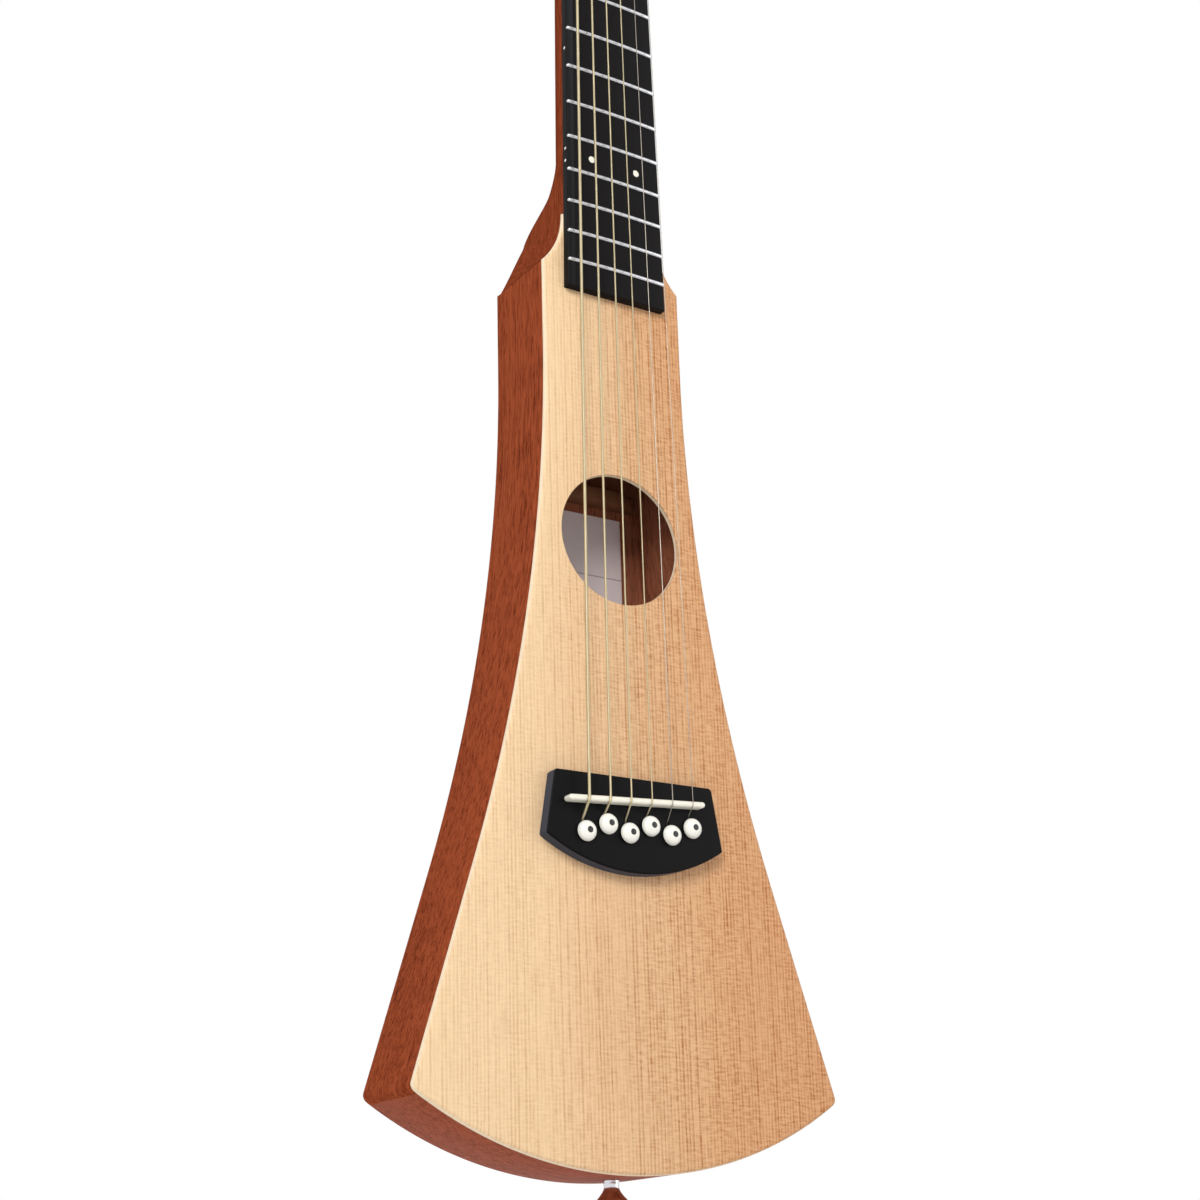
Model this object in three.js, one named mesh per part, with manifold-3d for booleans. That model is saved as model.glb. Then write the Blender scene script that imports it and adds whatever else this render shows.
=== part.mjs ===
// A six-string travel guitar with a narrow bell-shaped body, standing upright.
// Lengths are in millimetres. +Z runs up the neck, the strings lie in front of the face
// towards -Y, and the bass side is at -X. The origin is the line where the strings leave the
// nut, in the plane of the soundboard's outer face. A place is a distance down from the nut,
// and a height is a distance out of the face.
import * as THREE from 'three';
import { mergeVertices } from 'three/addons/utils/BufferGeometryUtils.js';
import Module from 'manifold-3d';

const wasm = await Module();
wasm.setup();

// Neck and strings
const scaleLength = 609.6;
const fretCount = 15;
const semitonesPerOctave = 12;
const stringCount = 6;
const nutWidth = 42.9;
const nutThickness = 5;
const nutHeadroom = 0.8;
const boardEndWidth = 54.5;
const boardPastLastFret = 13.7;
const boardThickness = 4.8;
const boardEdgeBreak = 0.5;
const stringRadii = [0.68, 0.53, 0.41, 0.31, 0.21, 0.16];
const nutStringSpread = 37.4;
const nutStringShift = 1.2;
const saddleStringSpread = 53.8;
const saddleStringShift = -0.9;
const bassCompensation = 3.9;
const trebleCompensation = 1;
const stringClearAtNut = 1.4;
const stringHeightAtSaddle = 11;

// Body
const bodyDepth = 45.6;
const bodyLength = 412.8;
const boardOverBody = 13;
const waistHalfWidth = 37.8;
const waistLength = 41;
const flareRadius = 818;
const flareAngle = 0.3055;
const tailArcRadius = 188;
const cornerBreak = 2.2;
const scoopRadius = 36.8;
const scoopLength = 27;
const soundboardThickness = 2.5;
const backThickness = 2.5;
const sideThickness = 4;
const rimThickness = 5;
const holeRadius = 31.2;
const holeFromShoulder = 134;

// Clearances and cutting
const glueGap = 0.3;
const slotGap = 0.2;
const holeGap = 0.3;
const restGap = 0.12;
const cutOverrun = 2;
const weld = 1e-4;

// Places along the neck's centre line
const fretPlace = (n) => scaleLength * (1 - 2 ** (-n / semitonesPerOctave));
const boardLength = fretPlace(fretCount) + boardPastLastFret;
const shoulderPlace = boardLength - boardOverBody;
const scoopPlace = shoulderPlace - scoopLength;
const flarePlace = shoulderPlace + waistLength;
const tailPlace = shoulderPlace + bodyLength;
const holePlace = shoulderPlace + holeFromShoulder;
const cavityNear = soundboardThickness;
const cavityFar = bodyDepth - backThickness;
const boardHalfWidth = (place) => (nutWidth + (boardEndWidth - nutWidth) * (place / boardLength)) / 2;

// Materials
function material(color, roughness, metalness = 0) {
  return new THREE.MeshStandardMaterial({ color, roughness, metalness });
}
const spruce = material(0xe8c692, 0.5);
const mahogany = material(0x8f4427, 0.45);
const innerWood = material(0xb98a5c, 0.8);
const blackBoard = material(0x232126, 0.5);
const blackBridge = material(0x17171b, 0.4);
const bone = material(0xf2ebd2, 0.35);
const pinPlastic = material(0xf7f4ec, 0.3);
const paper = material(0xdcd5e2, 0.9);
const fretMetal = material(0xd6d6da, 0.25, 1);
const woundString = material(0xc3b184, 0.35, 1);
const plainString = material(0xc9cace, 0.25, 1);
const chrome = material(0xe0e0e4, 0.12, 1);
const machineSteel = material(0xb9bbc0, 0.35, 1);

// Solids for cuts and joins
function toSolid(geometry) {
  const bare = geometry.clone();
  bare.deleteAttribute('normal');
  bare.deleteAttribute('uv');
  const merged = mergeVertices(bare, weld);
  return new wasm.Manifold(new wasm.Mesh({
    numProp: 3,
    vertProperties: new Float32Array(merged.attributes.position.array),
    triVerts: new Uint32Array(merged.index.array),
  }));
}

function toGeometry(solid) {
  const mesh = solid.getMesh();
  const geometry = new THREE.BufferGeometry();
  geometry.setAttribute('position', new THREE.BufferAttribute(mesh.vertProperties, 3));
  geometry.setIndex(new THREE.BufferAttribute(mesh.triVerts, 1));
  geometry.computeVertexNormals();
  return geometry;
}

function cut(geometry, ...tools) {
  return toGeometry(tools.reduce((solid, tool) => solid.subtract(toSolid(tool)), toSolid(geometry)));
}

function join(...geometries) {
  return toGeometry(geometries.map(toSolid).reduce((a, b) => a.add(b)));
}

// A plate with its outline in x and place, between two depths behind the face
function plate(points, near, far) {
  const shape = new THREE.Shape(points.map(([x, place]) => new THREE.Vector2(x, -place)));
  const geometry = new THREE.ExtrudeGeometry(shape, { depth: far - near, bevelEnabled: false });
  return geometry.rotateX(Math.PI / 2).translate(0, far, 0);
}

// A box between two x values, two depths and two places
function block([x0, x1], [near, far], [top, bottom]) {
  const geometry = new THREE.BoxGeometry(x1 - x0, far - near, bottom - top);
  return geometry.translate((x0 + x1) / 2, (near + far) / 2, -(top + bottom) / 2);
}

// A turned piece from pairs of radius and distance along +Y
function turned(profile, segments) {
  return new THREE.LatheGeometry(profile.map(([r, along]) => new THREE.Vector2(r, along)), segments);
}

// A drill along the depth
function drill(radius, x, place, near, far, segments) {
  const geometry = new THREE.CylinderGeometry(radius, radius, far - near, segments);
  return geometry.translate(x, (near + far) / 2, -place);
}

// Walls between rings of as many points each, with a fan at both ends
function loft(rings) {
  const count = rings[0].length;
  const index = [];
  for (let i = 0; i + 1 < rings.length; i += 1) {
    for (let j = 0; j < count; j += 1) {
      const a = i * count + j;
      const b = i * count + ((j + 1) % count);
      index.push(a, b, a + count, b, b + count, a + count);
    }
  }
  const last = (rings.length - 1) * count;
  for (let j = 1; j + 1 < count; j += 1) {
    index.push(0, j + 1, j);
    index.push(last, last + j, last + j + 1);
  }
  const geometry = new THREE.BufferGeometry();
  const positions = rings.flat().flatMap((p) => [p.x, p.y, p.z]);
  geometry.setAttribute('position', new THREE.Float32BufferAttribute(positions, 3));
  geometry.setIndex(index);
  return geometry;
}

// A round rod through points that lie near one plane of constant x
function rod(points, radius, sides) {
  const across = new THREE.Vector3(1, 0, 0);
  const rings = points.map((point, i) => {
    const along = new THREE.Vector3();
    if (i > 0) along.add(point.clone().sub(points[i - 1]).normalize());
    if (i + 1 < points.length) along.add(points[i + 1].clone().sub(point).normalize());
    along.normalize();
    const first = across.clone().addScaledVector(along, -across.dot(along)).normalize();
    const second = new THREE.Vector3().crossVectors(along, first);
    return Array.from({ length: sides }, (_, j) => {
      const angle = (j / sides) * 2 * Math.PI;
      return point.clone()
        .addScaledVector(first, radius * Math.cos(angle))
        .addScaledVector(second, radius * Math.sin(angle));
    });
  });
  return loft(rings);
}

// The body's outline. The flare is an arc that leaves the waist and ends in a straight line.
// An inset moves the line inwards by a wall's thickness.
const flareSteps = 12;
const flareEnd = (inset) => flarePlace + (flareRadius + inset) * Math.sin(flareAngle);

function bodyHalfWidth(place, inset = 0) {
  if (place <= flarePlace) return waistHalfWidth - inset;
  const end = Math.min(place, flareEnd(inset));
  const onArc = waistHalfWidth + flareRadius - Math.sqrt((flareRadius + inset) ** 2 - (end - flarePlace) ** 2);
  return onArc + (place - end) * Math.tan(flareAngle);
}

const tailCentrePlace = tailPlace - tailArcRadius;
const tailPlaceAt = (x, radius) => tailCentrePlace + Math.sqrt(radius ** 2 - x ** 2);

// Where an inset flare line meets a tail arc
function cornerPlace(inset, radius) {
  const slope = Math.tan(flareAngle);
  const start = bodyHalfWidth(flareEnd(inset), inset) + (tailCentrePlace - flareEnd(inset)) * slope;
  const a = 1 + slope ** 2;
  const b = 2 * start * slope;
  const c = start ** 2 - radius ** 2;
  return tailCentrePlace + (-b + Math.sqrt(b ** 2 - 4 * a * c)) / (2 * a);
}

function sideLine(inset, top, bottom) {
  const places = [top];
  for (let i = 0; i <= flareSteps; i += 1) {
    places.push(flarePlace + (flareRadius + inset) * Math.sin(flareAngle * (i / flareSteps)));
  }
  places.push(bottom);
  return places.map((place) => [bodyHalfWidth(place, inset), place]);
}

function tailLine(from, to, radius, steps) {
  return Array.from({ length: steps + 1 }, (_, i) => {
    const x = from + (to - from) * (i / steps);
    return [x, tailPlaceAt(x, radius)];
  });
}

const mirrored = (points) => points.map(([x, place]) => [-x, place]).reverse();

// The scoop that leads from the neck's side out to the shoulder
const scoopSteps = 5;
const scoopPlaces = Array.from({ length: scoopSteps + 1 }, (_, i) => scoopPlace + scoopLength * (i / scoopSteps));

function scoopHalfWidth(place) {
  if (place <= scoopPlace) return boardHalfWidth(place);
  const grown = scoopRadius - Math.sqrt(scoopRadius ** 2 - (place - scoopPlace) ** 2);
  const full = scoopRadius - Math.sqrt(scoopRadius ** 2 - scoopLength ** 2);
  const start = boardHalfWidth(scoopPlace);
  return start + (waistHalfWidth - start) * (grown / full);
}

const tailSteps = 20;
const outerCorner = cornerPlace(0, tailArcRadius);
const tailStartHalf = bodyHalfWidth(outerCorner) - cornerBreak;
const sideEndPlace = outerCorner - cornerBreak;

function bodyOutline(withScoop) {
  const scoop = withScoop ? scoopPlaces.slice(0, -1).map((place) => [scoopHalfWidth(place), place]) : [];
  const right = [...scoop, ...sideLine(0, shoulderPlace, sideEndPlace)];
  return [...right, ...tailLine(tailStartHalf, -tailStartHalf, tailArcRadius, tailSteps), ...mirrored(right)];
}

// Saddle line and bridge pins
const pinShankRadius = 2.5;
const pinHoleRadius = pinShankRadius + holeGap;
const pinRowFromSaddle = 11.8;
const pinStagger = 1.75;
const pinSpread = 54.5;
const pinShift = 0.7;
const drillSegments = 12;
const saddleSlant = (bassCompensation - trebleCompensation) / saddleStringSpread;
const saddleCentrePlace = scaleLength + (bassCompensation + trebleCompensation) / 2;
const acrossShare = (i) => i / (stringCount - 1) - 0.5;
const saddlePlace = (x) => saddleCentrePlace - saddleSlant * x;
const pinX = (i) => pinShift + acrossShare(i) * pinSpread;
const pinPlace = (i) => saddlePlace(pinX(i)) + pinRowFromSaddle + (i % 2 === 0 ? pinStagger : -pinStagger);
const eachString = (make) => Array.from({ length: stringCount }, (_, i) => make(i));
const pinDrills = (near, far) => eachString((i) => drill(pinHoleRadius, pinX(i), pinPlace(i), near, far, drillSegments));

// Soundboard and back
const holeSegments = 40;

function soundboard() {
  const near = -cutOverrun;
  const far = soundboardThickness + cutOverrun;
  const soundHole = drill(holeRadius, 0, holePlace, near, far, holeSegments);
  return cut(plate(bodyOutline(true), 0, soundboardThickness), soundHole, ...pinDrills(near, far));
}

function backPanel() {
  return plate(bodyOutline(false), cavityFar, bodyDepth);
}

// Sides, tail rim and tail block
const rimInnerRadius = tailArcRadius - rimThickness;
const rimSteps = 18;
const endPinShankRadius = 3;
const endPinShankLength = 22;
const endPinDepth = bodyDepth / 2;
const tailBlockHalfWidth = 30;
const tailBlockThickness = 20;
const tailBlockSteps = 6;
const tailBlockTop = tailPlace - rimThickness - glueGap - tailBlockThickness;

function sideWall(sign) {
  const innerCorner = cornerPlace(sideThickness, tailArcRadius);
  const outer = sideLine(0, shoulderPlace, sideEndPlace);
  const tail = tailLine(tailStartHalf, bodyHalfWidth(innerCorner, sideThickness), tailArcRadius, 1);
  const inner = sideLine(sideThickness, shoulderPlace, innerCorner).slice(0, -1).reverse();
  return plate([...outer, ...tail, ...inner].map(([x, place]) => [sign * x, place]), cavityNear, cavityFar);
}

function endPinDrill(top, bottom) {
  const radius = endPinShankRadius + holeGap;
  const geometry = new THREE.CylinderGeometry(radius, radius, bottom - top, drillSegments);
  return geometry.rotateX(Math.PI / 2).translate(0, endPinDepth, -(top + bottom) / 2);
}

function tailRim() {
  const inset = sideThickness + glueGap;
  const endHalf = (radius) => bodyHalfWidth(cornerPlace(inset, radius), inset);
  const outer = endHalf(tailArcRadius);
  const inner = endHalf(rimInnerRadius);
  const points = [...tailLine(outer, -outer, tailArcRadius, rimSteps),
    ...tailLine(-inner, inner, rimInnerRadius, rimSteps)];
  const hole = endPinDrill(tailPlace - rimThickness - cutOverrun, tailPlace + cutOverrun);
  return cut(plate(points, cavityNear, cavityFar), hole);
}

function tailBlock() {
  const points = [[tailBlockHalfWidth, tailBlockTop],
    ...tailLine(tailBlockHalfWidth, -tailBlockHalfWidth, rimInnerRadius - glueGap, tailBlockSteps),
    [-tailBlockHalfWidth, tailBlockTop]];
  return cut(plate(points, cavityNear, cavityFar), endPinDrill(tailBlockTop - cutOverrun, tailPlace));
}

// Braces, bridge plate and label
const braceWidth = 7;
const braceHeight = 9;
const braceEndHeight = 3;
const braceEndLength = 14;
const braceEndGap = 0.8;
const upperBraceFromHole = 46;
const middleBraceFromHole = 68;
const lowerBraceShare = 0.472;
const backBraceFromHole = 37;
const bridgePlateLength = 38;
const bridgePlateHalfWidth = 40;
const bridgePlateThickness = 2.5;
const bridgePlateAboveSaddle = 6;
const labelHalfWidth = 28;
const labelLength = 66;
const labelThickness = 0.4;
const labelFromHole = 29;
const bridgePlateTop = saddleCentrePlace - bridgePlateAboveSaddle;
const bridgePlateBottom = bridgePlateTop + bridgePlateLength;

// The lower brace lies between the bridge plate and the tail block
const lowerBracePlace = bridgePlateBottom + (tailBlockTop - bridgePlateBottom) * lowerBraceShare;

// A bar across the body whose ends slope down to the soundboard or the back
function brace(place, onBack) {
  const half = bodyHalfWidth(place - braceWidth / 2, sideThickness) - braceEndGap;
  const shape = new THREE.Shape([
    new THREE.Vector2(-half, 0),
    new THREE.Vector2(half, 0),
    new THREE.Vector2(half, braceEndHeight),
    new THREE.Vector2(half - braceEndLength, braceHeight),
    new THREE.Vector2(braceEndLength - half, braceHeight),
    new THREE.Vector2(-half, braceEndHeight),
  ]);
  const geometry = new THREE.ExtrudeGeometry(shape, { depth: braceWidth, bevelEnabled: false });
  geometry.translate(0, 0, -braceWidth / 2);
  if (onBack) geometry.rotateZ(Math.PI);
  return geometry.translate(0, onBack ? cavityFar : cavityNear, -place);
}

function bridgePlate() {
  const depths = [cavityNear, cavityNear + bridgePlateThickness];
  const flat = block([-bridgePlateHalfWidth, bridgePlateHalfWidth], depths, [bridgePlateTop, bridgePlateBottom]);
  return cut(flat, ...pinDrills(depths[0] - cutOverrun, depths[1] + cutOverrun));
}

function label() {
  const top = holePlace - labelFromHole;
  return block([-labelHalfWidth, labelHalfWidth], [cavityFar - labelThickness, cavityFar], [top, top + labelLength]);
}

// Head: x, depth behind the head's face and rise above the nut, tilted back
const headTilt = THREE.MathUtils.degToRad(12);
const headThickness = 14;
const headHalfWidth = 31;
const headLength = 100;
const headFootInset = 0.3;
const headFootDrop = 4;
const headOutlineShares = [[0.9, 0.115], [0.925, 0.23], [1, 0.9], [0.95, 0.955], [0.8, 0.985], [0, 1]];
const postFromCentre = 21;
const firstPostRise = 25;
const postSpacing = 29;
const postsPerSide = stringCount / 2;
const postRadius = 3;
const postHoleGap = 0.5;
const headFrame = new THREE.Group();
headFrame.position.z = nutThickness;
headFrame.rotation.x = -headTilt;
headFrame.updateMatrix();

// The first strings of each side run to the posts nearest the nut
const postSide = (i) => (i < postsPerSide ? -1 : 1);
const postRise = (i) => firstPostRise + postSpacing * Math.min(i, stringCount - 1 - i);

function headSlab() {
  const footHalfWidth = boardHalfWidth(-nutThickness) - headFootInset;
  const foot = [[footHalfWidth, headFootDrop], [footHalfWidth, 0]];
  const sides = headOutlineShares.slice(0, -1).map(([x, rise]) => [x * headHalfWidth, -rise * headLength]);
  const right = [...foot, ...sides];
  const holes = eachString((i) => {
    const x = postSide(i) * postFromCentre;
    const radius = postRadius + postHoleGap;
    return drill(radius, x, -postRise(i), -cutOverrun, headThickness + cutOverrun, drillSegments);
  });
  return cut(plate([...right, [0, -headLength], ...mirrored(right)], 0, headThickness), ...holes);
}

// Neck, heel and the block inside the body, cut from one blank
const neckDepthAtNut = 17.4;
const neckDepthAtHeel = 19;
const neckRoundness = 2.6;
const heelRoundness = 17;
const heelTopFromShoulder = 60;
const heelFullFromShoulder = 27;
const heelSquareFromShoulder = 46;
const heelRearFullnessShare = 0.9;
const neckRingPoints = 16;
const neckPlainSteps = 5;
const heelSteps = 6;
const blendRise = 23;
const blendHalfWidthShare = 0.75;
const blendSink = 0.4;
const blendSteps = 5;
const neckBlockHalfWidth = waistHalfWidth - sideThickness - glueGap;
const neckBlockLength = 38;
const heelTopPlace = shoulderPlace - heelTopFromShoulder;

function smooth(share) {
  const s = Math.min(Math.max(share, 0), 1);
  return s * s * (3 - 2 * s);
}

const between = (a, b, share) => a + (b - a) * share;

function neckDepth(place) {
  const plain = between(neckDepthAtNut, neckDepthAtHeel, Math.max(place, 0) / shoulderPlace);
  const heelLength = heelTopFromShoulder - heelFullFromShoulder;
  return between(plain, bodyDepth, smooth((place - heelTopPlace) / heelLength));
}

// One section of the neck: a rounded back behind a flat front
function neckRing(place, front, depth, widthShare) {
  const squareStart = shoulderPlace - heelSquareFromShoulder;
  const squared = smooth((place - squareStart) / heelSquareFromShoulder);
  const power = 2 / between(neckRoundness, heelRoundness, squared);
  const frontHalf = scoopHalfWidth(place) * widthShare;
  const down = Math.max(place - scoopPlace, 0) / scoopLength;
  const straightHalf = between(boardHalfWidth(scoopPlace), waistHalfWidth, down);
  return Array.from({ length: neckRingPoints + 1 }, (_, j) => {
    const angle = Math.PI * (1 - j / neckRingPoints);
    const onFront = j === 0 || j === neckRingPoints;
    const back = onFront ? 0 : Math.sin(angle) ** power;
    const y = between(front, depth, back);
    const fullness = down > 0 ? heelRearFullnessShare * (y / bodyDepth) : 0;
    const half = between(frontHalf, straightHalf, fullness);
    const x = half * Math.sign(Math.cos(angle)) * Math.abs(Math.cos(angle)) ** power;
    return new THREE.Vector3(x, y, -place);
  });
}

// The neck's back fades into the back of the head
function blendRing(share) {
  const rise = blendRise * (1 - share);
  const faceDepth = rise * Math.tan(headTilt);
  const headBack = faceDepth + headThickness / Math.cos(headTilt) - blendSink;
  const depth = between(headBack, neckDepth(-nutThickness), smooth(share));
  const widthShare = between(blendHalfWidthShare, 1, smooth(share));
  return neckRing(-nutThickness - rise, faceDepth + blendSink, depth, widthShare);
}

function neck() {
  const blend = Array.from({ length: blendSteps }, (_, i) => blendRing(i / blendSteps));
  const plain = Array.from({ length: neckPlainSteps }, (_, i) => heelTopPlace * (i / neckPlainSteps));
  const heel = Array.from({ length: heelSteps }, (_, i) => between(heelTopPlace, scoopPlace, i / heelSteps));
  const places = [-nutThickness, ...plain, ...heel, ...scoopPlaces];
  const shaft = loft([...blend, ...places.map((place) => neckRing(place, 0, neckDepth(place), 1))]);
  const inner = block([-neckBlockHalfWidth, neckBlockHalfWidth], [cavityNear, cavityFar],
    [shoulderPlace - cutOverrun, shoulderPlace + neckBlockLength]);
  const nutShelf = block([-headHalfWidth, headHalfWidth], [-headThickness, 0], [-nutThickness, nutThickness]);
  const boardRecess = block([-bodyDepth, bodyDepth], [-bodyDepth, soundboardThickness],
    [scoopPlace, shoulderPlace + bodyDepth]);
  const whole = join(shaft, headSlab().applyMatrix4(headFrame.matrix), inner);
  return cut(whole, nutShelf, boardRecess, strapScrewDrill());
}

// Fingerboard, frets and nut
const fretCrownWidth = 2;
const fretCrownHeight = 1;
const fretCrownSteps = 6;
const fretEndBevel = 0.8;
const fretEndShare = 0.3;
const fretEndInset = 0.1;
const fretTangThickness = 0.5;
const fretTangDepth = 1.5;
const fretSlotDepth = fretTangDepth + slotGap;

function fingerboard() {
  const section = (place) => {
    const half = boardHalfWidth(place);
    const corners = [[-half, boardEdgeBreak - boardThickness], [-half, 0], [half, 0],
      [half, boardEdgeBreak - boardThickness], [half - boardEdgeBreak, -boardThickness],
      [boardEdgeBreak - half, -boardThickness]];
    return corners.map(([x, y]) => new THREE.Vector3(x, y, -place));
  };
  const slots = Array.from({ length: fretCount }, (_, i) => {
    const place = fretPlace(i + 1);
    const half = fretTangThickness / 2 + glueGap;
    return block([-boardEndWidth, boardEndWidth], [-boardThickness - cutOverrun, fretSlotDepth - boardThickness],
      [place - half, place + half]);
  });
  return cut(loft([section(0), section(boardLength)]), ...slots);
}

function fret(number) {
  const place = fretPlace(number);
  const half = boardHalfWidth(place) - fretEndInset;
  const crownRing = (x, size) => Array.from({ length: fretCrownSteps + 1 }, (_, j) => {
    const angle = Math.PI * (j / fretCrownSteps);
    const y = -boardThickness - fretCrownHeight * size * Math.sin(angle);
    return new THREE.Vector3(x, y, -place + (fretCrownWidth / 2) * size * Math.cos(angle));
  });
  const crown = loft([crownRing(-half, fretEndShare), crownRing(fretEndBevel - half, 1),
    crownRing(half - fretEndBevel, 1), crownRing(half, fretEndShare)]);
  const tang = block([fretEndBevel - half, half - fretEndBevel],
    [-boardThickness - fretCrownHeight / 2, fretTangDepth - boardThickness],
    [place - fretTangThickness / 2, place + fretTangThickness / 2]);
  return join(crown, tang);
}

const underNutString = boardThickness + stringClearAtNut;
const nutStringX = (i) => nutStringShift + acrossShare(i) * nutStringSpread;

// A slot cut along a slanted line, open to the front
function slopedSlot(halfWidth, top, ends) {
  return loft(ends.map(({ x, place, floor }) => [[-1, floor], [1, floor], [1, top], [-1, top]].map(
    ([side, height]) => new THREE.Vector3(x + side * halfWidth, -height, -place))));
}

function nut() {
  const top = underNutString + nutHeadroom;
  const blank = block([-nutWidth / 2, nutWidth / 2], [-top, 0], [-nutThickness, 0]);
  const slots = eachString((i) => {
    const [post, atNut] = stringRoute(i);
    const run = post.clone().sub(atNut).divideScalar(post.z);
    const ends = [-nutThickness - cutOverrun, cutOverrun].map((place) => (
      { x: atNut.x - run.x * place, place, floor: underNutString - restGap + run.y * place }));
    return slopedSlot(stringRadii[i] + slotGap, top + cutOverrun, ends);
  });
  return cut(blank, ...slots);
}

// Bridge, saddle and pins
const bridgeThickness = 6.2;
const bridgeShift = -0.7;
const bridgeTopHalfWidth = 40.6;
const bridgeTopFromSaddle = 10.9;
const bridgeTopCorner = 1.1;
const bridgeArcRadius = 82;
const bridgeArcFromSaddle = 30.8;
const bridgeHalfWidth = 45.1;
const bridgeArcSteps = 12;
const saddleThickness = 2.6;
const saddleHalfLength = 35;
const saddleShift = -1.9;
const saddleSunk = 3.2;
const saddleTopSteps = 6;
const saddleTop = stringHeightAtSaddle - restGap;
const stringFromPinAxis = 1.97;
const stringBesidePinAxis = 1.1;
const stringBendHeight = 2.4;
const rampSideGap = 0.4;
const saddleTurn = Math.atan(saddleSlant);

// Each string enters its hole in front of the pin and to the bass side of it
const entryFromAxis = Math.sqrt(stringFromPinAxis ** 2 - stringBesidePinAxis ** 2);
const entryX = (i) => pinX(i) - stringBesidePinAxis;

function bridge() {
  const top = saddleCentrePlace - bridgeTopFromSaddle;
  const arcCentre = saddleCentrePlace + bridgeArcFromSaddle - bridgeArcRadius;
  const arc = Array.from({ length: bridgeArcSteps + 1 }, (_, i) => {
    const x = bridgeHalfWidth * (1 - 2 * (i / bridgeArcSteps));
    return [x, arcCentre + Math.sqrt(bridgeArcRadius ** 2 - x ** 2)];
  });
  const corner = [[bridgeTopHalfWidth - bridgeTopCorner, top], [bridgeTopHalfWidth, top + bridgeTopCorner]];
  const outline = [...corner, ...arc, ...mirrored(corner)].map(([x, place]) => [x + bridgeShift, place]);
  const blank = plate(outline, -bridgeThickness, 0);
  const slotHalf = saddleThickness / 2 + slotGap;
  const slot = block([-saddleHalfLength - slotGap, saddleHalfLength + slotGap],
    [-bridgeThickness - cutOverrun, saddleSunk + slotGap - bridgeThickness], [-slotHalf, slotHalf]);
  return cut(blank, placeOnSaddleLine(slot), ...pinDrills(-bridgeThickness - cutOverrun, cutOverrun),
    ...eachString(stringRamp));
}

function placeOnSaddleLine(geometry) {
  return geometry.rotateY(-saddleTurn).translate(saddleShift, 0, -saddlePlace(saddleShift));
}

function saddle() {
  const half = saddleThickness / 2;
  const ring = (x) => {
    const crest = Array.from({ length: saddleTopSteps + 1 }, (_, j) => {
      const angle = Math.PI * (j / saddleTopSteps);
      return new THREE.Vector3(x, -(saddleTop - half + half * Math.sin(angle)), half * Math.cos(angle));
    });
    const foot = saddleSunk - bridgeThickness;
    return [...crest, new THREE.Vector3(x, foot, -half), new THREE.Vector3(x, foot, half)];
  };
  return placeOnSaddleLine(loft([ring(-saddleHalfLength), ring(saddleHalfLength)]));
}

// A ramp that leads a string down into its pin hole
function stringRamp(i) {
  const points = stringRoute(i);
  const [crest, bend] = [points[saddleRoutePoints], points[saddleRoutePoints + 1]];
  const slope = (bend.y - crest.y) / (crest.z - bend.z);
  const lift = (stringRadii[i] + restGap + slotGap) * Math.sqrt(1 + slope ** 2);
  const floorAtBend = -bend.y - lift;
  const sideways = (bend.x - crest.x) / (crest.z - bend.z);
  const end = (past) => ({ x: bend.x + sideways * past, place: past - bend.z, floor: floorAtBend - slope * past });
  const ends = [end((floorAtBend - bridgeThickness) / slope), end(entryFromAxis)];
  return slopedSlot(stringRadii[i] + rampSideGap, bridgeThickness + cutOverrun, ends);
}

const pinHeadRadius = 4.5;
const pinHeadHeight = 3.4;
const pinTipRadius = 2;
const pinLength = 24;
const pinFluteWidth = 1.8;
const pinFluteFromAxis = entryFromAxis - stringRadii[0] - restGap;
const pinSegments = 14;
const pinHeadShares = [[0.92, 0], [1, 0.1], [1, 0.2], [0.93, 0.48], [0.76, 0.74], [0.5, 0.93], [0.3, 1], [0, 1]];

function bridgePin(i) {
  const head = pinHeadShares.map(([r, along]) => [r * pinHeadRadius, along * pinHeadHeight]);
  const profile = [[0, -pinLength], [pinTipRadius, -pinLength], [pinShankRadius, 0], ...head];
  const under = bridgeThickness + glueGap;
  const body = turned(profile, pinSegments).rotateX(Math.PI).translate(pinX(i), -under, -pinPlace(i));
  const half = pinFluteWidth / 2;
  const flute = block([entryX(i) - half, entryX(i) + half], [-under, pinLength - under + cutOverrun],
    [pinPlace(i) - pinShankRadius - cutOverrun, pinPlace(i) - pinFluteFromAxis]);
  return cut(body, flute);
}

// Strings, from the winding on the post to the ball end under the bridge plate
const windingRadius = 4.15;
const windingHeight = 5;
const windingHalfLength = 1.9;
const stringSides = 6;
const saddleWrapSteps = 2;
const saddleRoutePoints = 2 + saddleWrapSteps;
const ballRadius = 1.8;
const ballLength = 3.2;
const ballFromPinAxis = 4.4;
const ballBelowPlate = 2;
const kinkBelowPlate = 0.6;
const ballSegments = 10;

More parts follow.
